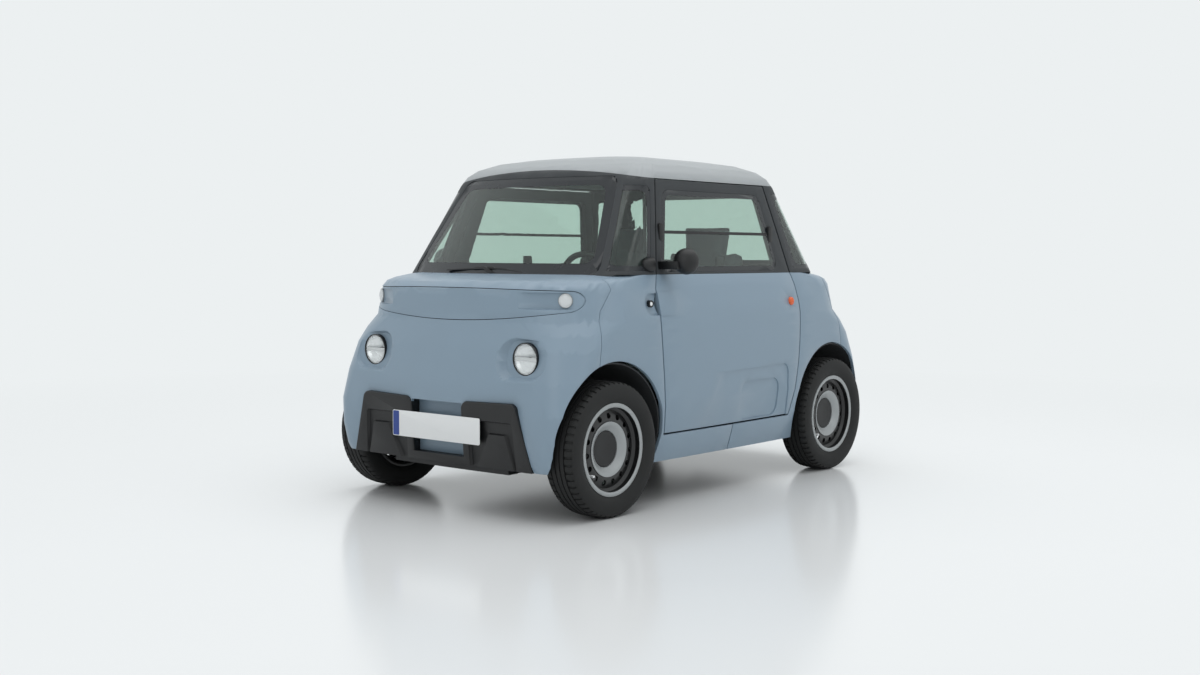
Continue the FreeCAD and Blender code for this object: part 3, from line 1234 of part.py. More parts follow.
for angle in (0, 180, 270):
    direction = Vector(math.cos(math.radians(angle)), 0, math.sin(math.radians(angle)))
    direction = FreeCAD.Rotation(X_AXIS, size("column_tilt")).multVec(direction)
    spokes.append(rod(wheel_centre - column_axis * (tube / 2),
                      wheel_centre + direction * size("steering_wheel_radius"),
                      size("steering_wheel_section") * 0.8))
shaft = rod(wheel_centre - column_axis * (3.6 * tube), wheel_centre, size("column_shaft_radius"))
add_shape("steering_wheel", ring.fuse([hub, shaft] + spokes))

# Seats on plain bases, the passenger's set further back, over the battery.
seat_half = size("seat_width") / 2


def bolster(shares, half):
    """One cushion of a seat: a side outline with round corners, pushed across the seat."""
    wire = rounded_wire(side_points(shares, -half), tube / 2)
    return Part.Face(wire).extrude(Vector(2 * half, 0, 0))


seat_piece = bolster(SEAT_CUSHION_SHARES, seat_half).fuse([
    bolster(SEAT_BACK_SHARES, seat_half), bolster(HEAD_REST_SHARES, size("head_rest_width") / 2)])
seat_piece = seat_piece.removeSplitter()
add_shape("driver_seat", moved(seat_piece, seat_side))
add_shape("passenger_seat", moved(seat_piece, -seat_side, size("seat_stagger")))
base_high = SEAT_CUSHION_SHARES[0][1] * tall - seat
add_shape("seat_base", block((seat_side - 4 * tube, -4 * tube, floor_high + seat),
                             (seat_side + 4 * tube, 4 * tube, base_high)))
add_shape("battery", block((-seat_side - 5 * tube, size("seat_stagger") - 5 * tube, floor_high + seat),
                           (-seat_side + 5 * tube, size("seat_stagger") + 5 * tube, base_high)))

# Mirrors on the doors: a domed head on a short arm.
mirror_centre = Vector(half_width + size("mirror_reach"), -MIRROR_SHARES[0] * half_length,
                       MIRROR_SHARES[1] * tall)
mirror_radius = size("mirror_radius")
head = Part.makeSphere(mirror_radius, mirror_centre)
head = head.cut(block((mirror_centre.x - 2 * mirror_radius, mirror_centre.y + mirror_radius / 4,
                       mirror_centre.z - 2 * mirror_radius),
                      (mirror_centre.x + 2 * mirror_radius, mirror_centre.y + 3 * mirror_radius,
                       mirror_centre.z + 2 * mirror_radius)))
arm = block((half_width * 0.84, mirror_centre.y - mirror_radius * 1.2, mirror_centre.z - mirror_radius * 0.6),
            (mirror_centre.x, mirror_centre.y - mirror_radius * 0.4, mirror_centre.z))
mirror = head.fuse(arm).cut(upper_form(0))
mirror = max(mirror.Solids, key=lambda item: item.Volume)
add_shape("mirror_left", mirror)
add_shape("mirror_right", mirrored(mirror))

failed = [item.Name for item in doc.Objects if "Invalid" in item.State or "Error" in item.State]
failed += [item.Label for item in parts if item.Shape.isNull() or not item.Shape.isValid()]
if failed:
    raise RuntimeError("failed: %s" % failed)
os.makedirs("parts", exist_ok=True)
for item in parts:
    item.Shape.exportStep("parts/%s.step" % item.Label)
    print(item.Label, len(item.Shape.Solids), round(item.Shape.Volume))
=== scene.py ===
"""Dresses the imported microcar: smooth body panels, wheels, lamps, glass, seats and small fittings."""

from __future__ import annotations

import logging
import math
from collections.abc import Sequence
from dataclasses import dataclass
from enum import Enum

import bmesh
import bpy
from mathutils import Matrix, Vector

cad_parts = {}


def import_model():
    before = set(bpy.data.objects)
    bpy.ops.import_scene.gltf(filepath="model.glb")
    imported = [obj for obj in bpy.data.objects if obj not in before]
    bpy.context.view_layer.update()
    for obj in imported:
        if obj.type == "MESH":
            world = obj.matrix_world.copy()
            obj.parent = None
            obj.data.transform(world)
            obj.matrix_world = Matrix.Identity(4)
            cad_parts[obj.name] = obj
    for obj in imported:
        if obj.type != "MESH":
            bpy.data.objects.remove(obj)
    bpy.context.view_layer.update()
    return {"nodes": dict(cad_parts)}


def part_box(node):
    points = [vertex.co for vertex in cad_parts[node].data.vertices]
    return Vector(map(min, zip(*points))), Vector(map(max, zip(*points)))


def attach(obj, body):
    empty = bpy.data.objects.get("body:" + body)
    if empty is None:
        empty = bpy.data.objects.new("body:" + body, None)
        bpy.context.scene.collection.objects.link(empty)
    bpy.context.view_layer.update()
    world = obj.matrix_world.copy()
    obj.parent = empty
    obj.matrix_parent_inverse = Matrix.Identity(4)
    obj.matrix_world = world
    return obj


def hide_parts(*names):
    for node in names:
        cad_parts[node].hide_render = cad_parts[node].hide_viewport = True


logging.basicConfig(level=logging.INFO, format="%(message)s")
LOG = logging.getLogger("microcar")

MM = 0.001
TRACK_SIDE = 617.5
AXLE = 864.0
WHEEL_HEIGHT = 278.5
HALF_TURN = math.pi

UNTURNED = Matrix.Identity(4)
TURNED = Matrix.Rotation(HALF_TURN, 4, "Z")
MIRRORED = Matrix.Scale(-1, 4, (1, 0, 0))
FACING_NOSE = Matrix.Rotation(-HALF_TURN / 2, 4, "Z")
FACING_TAIL = Matrix.Rotation(HALF_TURN / 2, 4, "Z")

Triple = tuple[float, float, float]


class Side(Enum):
    """The car's own left and right."""

    LEFT = 1
    RIGHT = -1


class End(Enum):
    """The nose and the tail."""

    FRONT = -1
    REAR = 1


def linear(hex_colour: str) -> tuple[float, float, float, float]:
    """Turns an sRGB hex value into a linear colour.

    Args:
        hex_colour: The colour as #RRGGBB.

    Returns:
        Red, green, blue and an alpha of 1, all linear.
    """
    text = hex_colour.lstrip("#")
    values = [int(text[i : i + 2], 16) / 255 for i in (0, 2, 4)]
    shares = [v / 12.92 if v <= 0.04045 else ((v + 0.055) / 1.055) ** 2.4 for v in values]
    return (shares[0], shares[1], shares[2], 1.0)


def add_node(
    material: bpy.types.Material,
    kind: str,
    settings: dict[str, object] | None = None,
    links: dict[str, bpy.types.NodeSocket] | None = None,
) -> bpy.types.Node:
    """Adds one shader node with its settings and its incoming links.

    Args:
        material: The material whose node tree gets the node.
        kind: The node's type name.
        settings: Attribute or input names with their values.
        links: Input names with the sockets that feed them.

    Returns:
        The new node.
    """
    tree = material.node_tree
    node = tree.nodes.new(kind)
    for name, value in (settings or {}).items():
        if name in node.inputs:
            node.inputs[name].default_value = value
        else:
            setattr(node, name, value)
    for name, socket in (links or {}).items():
        target = node.inputs[int(name)] if name.isdigit() else node.inputs[name]
        tree.links.new(socket, target)
    return node


@dataclass(frozen=True)
class Finish:
    """A surface finish: a base colour with fine variation, gloss and a moulded or brushed grain.

    Grain sizes are in millimetres on the object, and bump heights too.
    """

    name: str
    colour: str
    roughness: float
    metallic: float = 0.0
    ior: float = 1.5
    coat: float = 0.0
    coat_roughness: float = 0.1
    variation: float = 0.06
    variation_size: float = 120.0
    grain_size: float = 1.2
    grain_height: float = 0.0
    gloss_variation: float = 0.08
    slot: str = "black_plastic"

    def make(self) -> bpy.types.Material:
        """Builds the material once and returns it."""
        found = bpy.data.materials.get(self.name)
        if found:
            return found
        material = bpy.data.materials.new(self.name)
        material.use_nodes = True
        material["slot"] = self.slot
        material.diffuse_color = linear(self.colour)
        shader = material.node_tree.nodes["Principled BSDF"]
        shader.inputs["Metallic"].default_value = self.metallic
        shader.inputs["IOR"].default_value = self.ior
        shader.inputs["Coat Weight"].default_value = self.coat
        shader.inputs["Coat Roughness"].default_value = self.coat_roughness
        place = add_node(material, "ShaderNodeTexCoord").outputs["Object"]
        cloud = add_node(
            material,
            "ShaderNodeTexNoise",
            {"Scale": 1000.0 / self.variation_size, "Detail": 4.0},
            {"Vector": place},
        )
        base = linear(self.colour)
        if not self.variation:
            shader.inputs["Base Color"].default_value = base
            shader.inputs["Roughness"].default_value = self.roughness
            self.extend(material, shader)
            return material
        dark = tuple(v * (1 - self.variation) for v in base[:3]) + (1.0,)
        light = tuple(min(v * (1 + self.variation), 1.0) for v in base[:3]) + (1.0,)
        mix = add_node(
            material,
            "ShaderNodeMix",
            {"data_type": "RGBA"},
            {"Factor": cloud.outputs["Fac"]},
        )
        mix.inputs[6].default_value = dark
        mix.inputs[7].default_value = light
        material.node_tree.links.new(mix.outputs[2], shader.inputs["Base Color"])
        gloss = add_node(
            material,
            "ShaderNodeMapRange",
            {
                "To Min": max(self.roughness - self.gloss_variation, 0.02),
                "To Max": min(self.roughness + self.gloss_variation, 1.0),
            },
            {"Value": cloud.outputs["Fac"]},
        )
        material.node_tree.links.new(gloss.outputs["Result"], shader.inputs["Roughness"])
        if self.grain_height:
            grain = add_node(
                material,
                "ShaderNodeTexNoise",
                {"Scale": 1000.0 / self.grain_size, "Detail": 2.0},
                {"Vector": place},
            )
            bump = add_node(
                material,
                "ShaderNodeBump",
                {"Strength": 1.0, "Distance": self.grain_height * MM},
                {"Height": grain.outputs["Fac"]},
            )
            material.node_tree.links.new(bump.outputs["Normal"], shader.inputs["Normal"])
        self.extend(material, shader)
        return material

    def extend(self, material: bpy.types.Material, shader: bpy.types.Node) -> None:
        """Adds what a special finish needs; a plain one adds nothing."""


@dataclass(frozen=True)
class ClearFinish(Finish):
    """Glass or clear plastic: it lets light through and tints it."""

    transmission: float = 1.0

    def extend(self, material: bpy.types.Material, shader: bpy.types.Node) -> None:
        """Lets the light through."""
        shader.inputs["Transmission Weight"].default_value = self.transmission


@dataclass(frozen=True)
class WovenFinish(Finish):
    """Woven cloth: two crossed sets of threads in low relief, with a soft sheen."""

    thread: float = 2.4

    def extend(self, material: bpy.types.Material, shader: bpy.types.Node) -> None:
        """Adds the weave's relief and the sheen of its fibres."""
        place = add_node(material, "ShaderNodeTexCoord").outputs["Object"]
        scale = 1000.0 / self.thread / math.tau
        heights = []
        for direction in ("X", "Z"):
            wave = add_node(
                material,
                "ShaderNodeTexWave",
                {"bands_direction": direction, "Scale": scale, "Distortion": 0.6},
                {"Vector": place},
            )
            heights.append(wave.outputs["Fac"])
        both = add_node(
            material,
            "ShaderNodeMath",
            {"operation": "MAXIMUM"},
            {"0": heights[0], "1": heights[1]},
        )
        bump = add_node(
            material,
            "ShaderNodeBump",
            {"Strength": 1.0, "Distance": 0.35 * MM},
            {"Height": both.outputs["Value"]},
        )
        material.node_tree.links.new(bump.outputs["Normal"], shader.inputs["Normal"])
        shader.inputs["Sheen Weight"].default_value = 0.25
        shader.inputs["Sheen Roughness"].default_value = 0.5


# Mass-coloured thermoplastic body panels, satin: an even soft sheen with hardly any reflection.
BODY = Finish("moulded_blue_grey_panel", "#889CAC", 0.34, variation=0.02, slot="body_paint")
# The roof is the same plastic in a warm light grey.
ROOF = Finish("moulded_light_grey_roof", "#A6ABAD", 0.46, variation=0.02, slot="roof_paint")
# Pillars and window frames are unpainted grained plastic, charcoal.
CHARCOAL = Finish(
    "grained_charcoal_plastic", "#303437", 0.6, variation=0.04, grain_size=1.4, grain_height=0.06,
    slot="frame_plastic",
)
# Bumper inserts and mirrors are the same grained plastic in black.
BLACK = Finish("grained_black_plastic", "#0D0E10", 0.46, variation=0.06, grain_size=1.4, grain_height=0.06)
# Gloss black trim: lamp rings, lock rings and the wiper catch a thin sharp highlight.
GLOSS_BLACK = Finish("gloss_black_trim", "#0D0E10", 0.18, variation=0.02)
# Toughened glass: clear, with a light green tint over the cabin.
GLASS = ClearFinish("green_tinted_glass", "#D3E4DC", 0.02, ior=1.45, variation=0.0, slot="tinted_glass")
# Screen-printed ceramic border: a dark glossy band round each pane.
FRIT = Finish("ceramic_frit", "#22262A", 0.25, variation=0.03, slot="tinted_glass")
# Clear moulded lamp cover, smooth and hardly tinted.
LENS = ClearFinish("clear_lamp_lens", "#FCFDFD", 0.03, ior=1.4, variation=0.0, slot="lamp_lens")
# Vacuum-metallised reflector: a bright silver bowl behind the cover.
REFLECTOR = Finish("metallised_reflector", "#F0F2F3", 0.26, metallic=0.7, variation=0.02, slot="lamp_lens")
# White light guide in the lamps, a flat bright bar.
WHITE = Finish("white_light_guide", "#F4F6F7", 0.3, variation=0.01, slot="lamp_lens")
# Stove-enamelled steel wheel, satin black.
WHEEL_BLACK = Finish("enamelled_black_steel", "#0C0D0E", 0.36, coat=0.2, variation=0.05, slot="black_steel")
# Painted light grey trim of the wheel.
WHEEL_GREY = Finish(
    "painted_grey_wheel_trim", "#A3A7A8", 0.34, metallic=0.3, variation=0.03,
    slot="cast_metal",
)
# Tyre rubber, dark and dull with a light bloom.
RUBBER = Finish(
    "tyre_rubber_compound", "#0F1010", 0.72, variation=0.12, grain_size=2.0, grain_height=0.08,
    slot="tyre_rubber",
)
# Black dip-painted chassis steel.
CHASSIS = Finish("dip_painted_steel", "#1A1B1D", 0.5, variation=0.15, variation_size=60.0, slot="black_steel")
# Cast aluminium, dull and slightly rough, on the drive unit.
CAST = Finish(
    "cast_aluminium", "#8B8E91", 0.5, metallic=0.8, variation=0.08, grain_size=1.6, grain_height=0.08,
    slot="cast_metal",
)
# Moulded rubber mat and inner panels, dull and nearly black.
MAT = Finish(
    "moulded_floor_mat", "#2C2E30", 0.7, variation=0.05, grain_size=2.2, grain_height=0.12,
    slot="floor_paint",
)
# Grey seat cloth with a low weave and a soft sheen.
CLOTH = WovenFinish(
    "woven_grey_seat_cloth", "#5C6165", 0.85, variation=0.05, variation_size=30.0,
    slot="seat_cloth",
)
# White film on the plate blanks and its plain blue end, both even and slightly glossy.
PLATE = Finish("plate_white_film", "#EEF0F0", 0.35, variation=0.01, slot="plate_white")
PLATE_BLUE = Finish("plate_blue_film", "#23408E", 0.35, variation=0.02, slot="plate_white")
# Amber moulding of the side markers, strong orange and glossy.
AMBER = ClearFinish("amber_reflector", "#F26A34", 0.15, variation=0.05, transmission=0.1, slot="amber_lens")
# Red moulded cover of the tail lamps, deep and glossy.
RED = ClearFinish("red_lamp_cover", "#B0161A", 0.1, variation=0.05, transmission=0.3, slot="lamp_lens")
# Silvered mirror glass.
MIRROR = Finish("mirror_glass", "#D6DADC", 0.03, metallic=1.0, variation=0.0)
# Black sheet set behind the band joints: painted shade, standing in for the shadow inside each joint between
# two panels.
SEAM_SHADE = Finish("seam_seal_rubber", "#0B0B0C", 0.8, variation=0.02)


def deselect() -> None:
    """Leaves edit mode and deselects everything."""
    if bpy.context.object and bpy.context.object.mode != "OBJECT":
        bpy.ops.object.mode_set(mode="OBJECT")
    bpy.ops.object.select_all(action="DESELECT")


def pick(obj: bpy.types.Object) -> None:
    """Makes one object the selected and active one."""
    deselect()
    obj.select_set(True)
    bpy.context.view_layer.objects.active = obj


def apply_modifier(obj: bpy.types.Object, kind: str, **settings: object) -> None:
    """Adds a modifier with settings and applies it.

    Args:
        obj: The object to change.
        kind: The modifier's type.
        settings: The modifier's attributes.
    """
    pick(obj)
    modifier = obj.modifiers.new(kind.title(), kind)
    for name, value in settings.items():
        setattr(modifier, name, value)
    bpy.ops.object.modifier_apply(modifier=modifier.name)


def place_mesh(obj: bpy.types.Object) -> None:
    """Moves the object's place, turn and size into its mesh."""
    pick(obj)
    bpy.ops.object.transform_apply(location=True, rotation=True, scale=True)


def at(place: Triple) -> Matrix:
    """A matrix that moves a piece to a place given in millimetres."""
    return Matrix.Translation(Vector(place) * MM)


def dress(obj: bpy.types.Object, finish: Finish) -> bpy.types.Object:
    """Gives the whole object one finish."""
    obj.data.materials.clear()
    obj.data.materials.append(finish.make())
    return obj


def mount(piece: bpy.types.Object, body: str) -> None:
    """Sets a dressed piece on its body."""
    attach(piece, body)


def smooth(obj: bpy.types.Object, angle: float = 35.0) -> None:
    """Shades the object smooth apart from edges sharper than the angle in degrees."""
    pick(obj)
    bpy.ops.object.shade_smooth_by_angle(angle=math.radians(angle))


def slab(
    name: str,
    outline: Sequence[tuple[float, float]],
    axis: str,
    near: float,
    far: float,
    corner: float = 0.0,
    edge: float = 0.0,
) -> bpy.types.Object:
    """A flat piece: a plan face with rounded corners, pushed out along an axis.

    Args:
        name: The new object's name.
        outline: The corners in the plane across the axis, in millimetres.
        axis: X, Y or Z, along which the piece is thick.
        near: Where the piece begins along the axis, in millimetres.
        far: Where it ends.
        corner: How far the corners are rounded.
        edge: How far the edges round its faces are softened.

    Returns:
        The object, its place in its mesh.
    """
    deselect()
    bpy.ops.mesh.primitive_circle_add(vertices=len(outline), radius=1.0, fill_type="NGON")
    obj = bpy.context.object
    obj.name = name
    order = {"X": (2, 0, 1), "Y": (0, 2, 1), "Z": (0, 1, 2)}[axis]
    for vertex, point in zip(obj.data.vertices, outline):
        values = (point[0], point[1], near)
        vertex.co = Vector([values[i] for i in order]) * MM
    bpy.ops.object.mode_set(mode="EDIT")
    bpy.ops.mesh.select_all(action="SELECT")
    if corner:
        bpy.ops.mesh.bevel(offset=corner * MM, segments=6, affect="VERTICES")
        bpy.ops.mesh.select_all(action="SELECT")
    step = Vector([(0.0, 0.0, far - near)[i] for i in order]) * MM
    bpy.ops.mesh.extrude_region_move(TRANSFORM_OT_translate={"value": step})
    bpy.ops.mesh.select_all(action="SELECT")
    bpy.ops.mesh.normals_make_consistent(inside=False)
    bpy.ops.object.mode_set(mode="OBJECT")
    if edge:
        soften(obj, edge)
    return obj


def soften(obj: bpy.types.Object, width: float) -> None:
    """Rounds the sharp edges by a width in millimetres and shades the piece smooth."""
    apply_modifier(
        obj,
        "BEVEL",
        width=width * MM,
        segments=2,
        limit_method="ANGLE",
        angle_limit=math.radians(50),
    )
    smooth(obj, 35)


def carve(obj: bpy.types.Object, cutter: bpy.types.Object, operation: str = "DIFFERENCE") -> None:
    """Cuts a piece with another one, or keeps only what they share."""
    apply_modifier(obj, "BOOLEAN", object=cutter, operation=operation, solver="EXACT")


def merged(node: bpy.types.Object, name: str) -> bpy.types.Object:
    """A copy of a CAD node with its loose triangles joined.

    Args:
        node: The CAD node.
        name: The copy's name.

    Returns:
        The copy, not yet dressed.
    """
    copy = bpy.data.objects.new(name, node.data.copy())
    bpy.context.scene.collection.objects.link(copy)
    pick(copy)
    bpy.ops.object.mode_set(mode="EDIT")
    bpy.ops.mesh.select_all(action="SELECT")
    bpy.ops.mesh.remove_doubles(threshold=0.00002)
    bpy.ops.mesh.tris_convert_to_quads(face_threshold=math.radians(3), shape_threshold=math.radians(60))
    bpy.ops.object.mode_set(mode="OBJECT")
    return copy


def joined(pieces: Sequence[bpy.types.Object], name: str) -> bpy.types.Object:
    """One object made of copies of several."""
    copies = [copy_of(piece, name, UNTURNED) for piece in pieces]
    pick(copies[0])
    for copy in copies:
        copy.select_set(True)
    bpy.ops.object.join()
    return bpy.context.object


def drop(*pieces: bpy.types.Object) -> None:
    """Removes patterns and cutters that aren't part of the car."""
    for piece in pieces:
        bpy.data.objects.remove(piece)


def turned(
    name: str,
    rings: Sequence[tuple[float, float]],
    segments: int,
    closed: bool = False,
) -> bpy.types.Object:
    """A turned piece about the X axis, made by extruding and resizing a ring.

    Args:
        name: The new object's name.
        rings: Distances along and from the axis, in millimetres.
        segments: The ring's corners.
        closed: Whether the last ring joins the first.

    Returns:
        The object, its axis through the origin.
    """
    deselect()
    first = rings[0]
    bpy.ops.mesh.primitive_circle_add(
        vertices=segments,
        radius=first[1] * MM,
        location=(first[0] * MM, 0, 0),
        rotation=(0, math.pi / 2, 0),
        fill_type="NOTHING",
    )
    obj = bpy.context.object
    obj.name = name
    place_mesh(obj)
    bpy.ops.object.mode_set(mode="EDIT")
    bpy.ops.mesh.select_all(action="SELECT")
    for before, after in zip(rings, rings[1:]):
        step = ((after[0] - before[0]) * MM, 0, 0)
        bpy.ops.mesh.extrude_region_move(TRANSFORM_OT_translate={"value": step})
        share = after[1] / before[1]
        bpy.ops.transform.resize(value=(1, share, share), center_override=(after[0] * MM, 0, 0))
    bpy.ops.object.mode_set(mode="OBJECT")
    mesh = bmesh.new()
    mesh.from_mesh(obj.data)
    mesh.verts.ensure_lookup_table()
    if closed:
        rims = [edge for edge in mesh.edges if edge.is_boundary]
        bmesh.ops.bridge_loops(mesh, edges=rims)
    else:
        bmesh.ops.holes_fill(mesh, edges=[edge for edge in mesh.edges if edge.is_boundary], sides=0)
    bmesh.ops.recalc_face_normals(mesh, faces=mesh.faces[:])
    mesh.to_mesh(obj.data)
    mesh.free()
    return obj


def resize(obj: bpy.types.Object, shares: Triple) -> None:
    """Trims or grows a piece about the middle of its box, by a share for each axis."""
    places = [vertex.co for vertex in obj.data.vertices]
    middle = Vector([(min(p[i] for p in places) + max(p[i] for p in places)) / 2 for i in range(3)])
    grown = Matrix.Diagonal((*shares, 1.0))
    obj.data.transform(Matrix.Translation(middle) @ grown @ Matrix.Translation(-middle))


def copy_of(obj: bpy.types.Object, name: str, turn: Matrix) -> bpy.types.Object:
    """A copy with its own mesh, set in place by a matrix that goes into the mesh."""
    deselect()
    copy = obj.copy()
    copy.data = obj.data.copy()
    copy.name = name
    bpy.context.scene.collection.objects.link(copy)
    copy.data.transform(turn)
    if turn.determinant() < 0:
        copy.data.flip_normals()
    return copy


@dataclass
class Panels:
    """The car's CAD nodes, carried over as merged and smoothly shaded pieces."""

    nodes: dict[str, bpy.types.Object]
    edge: float = 2.4
    # Size and inward offset of the black sheet of painted shade behind each band.
    seal_growth: Triple = (0.992, 1.0, 1.05)
    seal_depth: float = 5.0
    band_trim: Triple = (0.997, 1.0, 0.965)
    side_trim: Triple = (1.0, 0.9945, 1.0)
    plans: tuple[tuple[str, str, Finish], ...] = (
        ("front_moulding", "body", BODY),
        ("rear_moulding", "body", BODY),
        ("side_panel_front_left", "body", BODY),
        ("side_panel_rear_left", "body", BODY),
        ("side_panel_front_right", "body", BODY),
        ("side_panel_rear_right", "body", BODY),
        ("roof_panel", "body", ROOF),
        ("windscreen_frame", "body", CHARCOAL),
        ("rear_window_frame", "body", CHARCOAL),
        ("front_band_panel", "body", BODY),
        ("rear_band_panel", "body", BODY),
        ("front_bumper_insert", "body", BLACK),
        ("rear_bumper_insert", "body", BLACK),
        ("door_panel_left", "door_left", BODY),
        ("door_panel_right", "door_right", BODY),
        ("door_frame_left", "door_left", CHARCOAL),
        ("door_frame_right", "door_right", CHARCOAL),
        ("mirror_left", "door_left", BLACK),
        ("mirror_right", "door_right", BLACK),
    )

    def make(self) -> None:
        """Carries over every panel of the plan."""
        for node, body, finish in self.plans:
            piece = merged(self.nodes[node], node + "_skin")
            if node.endswith("band_panel"):
                resize(piece, self.band_trim)
            if node.startswith("side_panel"):
                resize(piece, self.side_trim)
            soften(piece, self.edge)
            dress(piece, finish)
            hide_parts(node)
            mount(piece, body)
            LOG.info("panel %s: %d faces", piece.name, len(piece.data.polygons))
        self.seals()

    def seals(self) -> None:
        """A black sheet behind each band, a little larger than it, shows in the joint round it as painted
        shade.
        """
        for end in End:
            node = end.name.lower() + "_band_panel"
            piece = merged(self.nodes[node], end.name.lower() + "_band_seal")
            resize(piece, self.seal_growth)
            piece.data.transform(Matrix.Translation((0, -end.value * self.seal_depth * MM, 0)))
            # Painted shade: the black sheet stands in for the shadow inside the joint.
            dress(piece, SEAM_SHADE)
            mount(piece, "body")


@dataclass
class Panes:
    """Window glass: each pane is parted into clear glass and its printed border."""

    nodes: dict[str, bpy.types.Object]
    windscreen: tuple[tuple[float, float], ...] = ((-506, 1030), (-412, 1368), (412, 1368), (506, 1030))
    rear_window: tuple[tuple[float, float], ...] = ((-462, 1042), (-392, 1352), (392, 1352), (462, 1042))
    door: tuple[tuple[float, float], ...] = ((-466, 1018), (402, 1018), (318, 1328), (-386, 1328))
    quarter_front: tuple[tuple[float, float], ...] = ((-772, 1022), (-582, 1022), (-512, 1342), (-628, 1342))
    quarter_rear: tuple[tuple[float, float], ...] = ((590, 1024), (724, 1024), (560, 1336), (474, 1336))

    def part(self, node: str, body: str, cutters: Sequence[bpy.types.Object]) -> None:
        """Splits one pane into glass and border.

        Args:
            node: The CAD pane.
            body: The body that carries it.
            cutters: What the clear part lies inside.
        """
        border = merged(self.nodes[node], node + "_border")
        clear = merged(self.nodes[node], node + "_clear")
        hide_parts(node)
        inside = joined(cutters, node + "_inside")
        carve(border, inside)
        carve(clear, inside, "INTERSECT")
        drop(inside)
        dress(border, FRIT)
        dress(clear, GLASS)
        for piece in (border, clear):
            smooth(piece, 30)
            mount(piece, body)
        LOG.info("pane %s", node)

    def make(self) -> None:
        """Parts every pane."""
        screen = slab("screen_cutter", self.windscreen, "Y", -1000, -300, 44)
        rear = slab("rear_cutter", self.rear_window, "Y", 300, 1000, 44)
        door = slab("door_cutter", self.door, "X", 400, 800, 34)
        front = slab("front_quarter_cutter", self.quarter_front, "X", 400, 800, 30)
        back = slab("rear_quarter_cutter", self.quarter_rear, "X", 400, 800, 30)
        turned_ones = [copy_of(item, item.name + "_turned", TURNED) for item in (door, front, back)]
        self.part("windscreen", "body", [screen])
        self.part("rear_window", "body", [rear])
        self.part("door_glass_left", "door_left", [door])
        self.part("door_glass_right", "door_right", [turned_ones[0]])
        self.part("quarter_windows", "body", [front, back] + turned_ones[1:])
        drop(screen, rear, door, front, back, *turned_ones)


@dataclass
class Lamps:
    """Round lamps: a head lamp in each pocket and a small lamp in each scoop, at both ends."""

    head_place: Triple = (448.0, -1137.0, 650.0)
    small_place: Triple = (548.0, -1009.6, 883.4)
    small_turn: float = 28.5

    def head_lamp(self, cover: ClearFinish) -> list[bpy.types.Object]:
        """A head lamp facing along X: drum, thin black ring, facetted reflector, bar and cover."""
        drum_rings = [(-54, 24), (-54, 58), (-8, 66), (-8, 63), (-50, 55), (-50, 24)]
        drum = turned("drum", drum_rings, 48, closed=True)
        ring = turned("ring", [(-8, 62.4), (-8, 67), (4, 67), (6, 65.8), (5, 62.4)], 72, closed=True)
        bowl = turned("bowl", [(-2, 63), (-10, 60), (-18, 48), (-24, 30), (-27, 8), (-29, 8), (-26, 30),
                               (-20, 49), (-12, 61), (-4, 63.3)], 32, closed=True)
        lens = turned("lens", [(-1, 63.3), (1.5, 63.3), (5, 54), (7.6, 36), (9, 18), (9.4, 1)], 72)
        bar = slab("bar", [(-57, -7), (57, -7), (57, 7), (-57, 7)], "X", -9, -3, 5, 0.6)
        dress(drum, BLACK)
        dress(ring, GLOSS_BLACK)
        dress(bowl, REFLECTOR)
        dress(lens, cover)
        dress(bar, WHITE)
        for piece in (drum, ring, lens):
            smooth(piece, 35)
        return [drum, ring, bowl, lens, bar]

    def small_lamp(self, cover: ClearFinish) -> list[bpy.types.Object]:
        """A small lamp facing along X: drum, ring, white bowl and cover."""
        drum_rings = [(-30, 12), (-30, 26), (-4, 29.4), (-4, 28), (-26, 24), (-26, 12)]
        drum = turned("drum", drum_rings, 36, closed=True)
        ring = turned("ring", [(-4, 28.2), (-4, 29.8), (2.6, 29.8), (3.6, 29.2), (3, 28.2)], 48, closed=True)
        bowl = turned("bowl", [(1, 28), (-4, 24), (-6, 14), (-7, 1)], 32)
        lens = turned("lens", [(-1, 28.1), (2, 28.1), (8, 22), (11, 12), (12, 1)], 48)
        dress(drum, BLACK)
        dress(ring, WHEEL_GREY)
        dress(bowl, WHITE)
        dress(lens, cover)
        for piece in (drum, ring, lens):
            smooth(piece, 35)
        return [drum, ring, bowl, lens]

    def make(self) -> None:
        """Sets the four lamps of each end."""
        for end, turn, head_cover in ((End.FRONT, UNTURNED, LENS), (End.REAR, TURNED, RED)):
            prefix = end.name.lower()
            for label, pieces, place, angle in (
                ("head", self.head_lamp(head_cover), self.head_place, 0.0),
                ("small", self.small_lamp(LENS), self.small_place, self.small_turn),
            ):
                for side in Side:
                    spot = at((side.value * place[0], place[1], place[2]))
                    facing = Matrix.Rotation(math.radians(side.value * angle - 90), 4, "Z")
                    for source in pieces:
                        name = "_".join((prefix, label, source.name.split(".")[0], side.name.lower()))
                        piece = copy_of(source, name, turn @ spot @ facing)
                        if source.name.startswith(("drum", "ring")):
                            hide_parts(prefix + "_lamps")
                        mount(piece, "body")
                drop(*pieces)
            LOG.info("%s lamps", prefix)


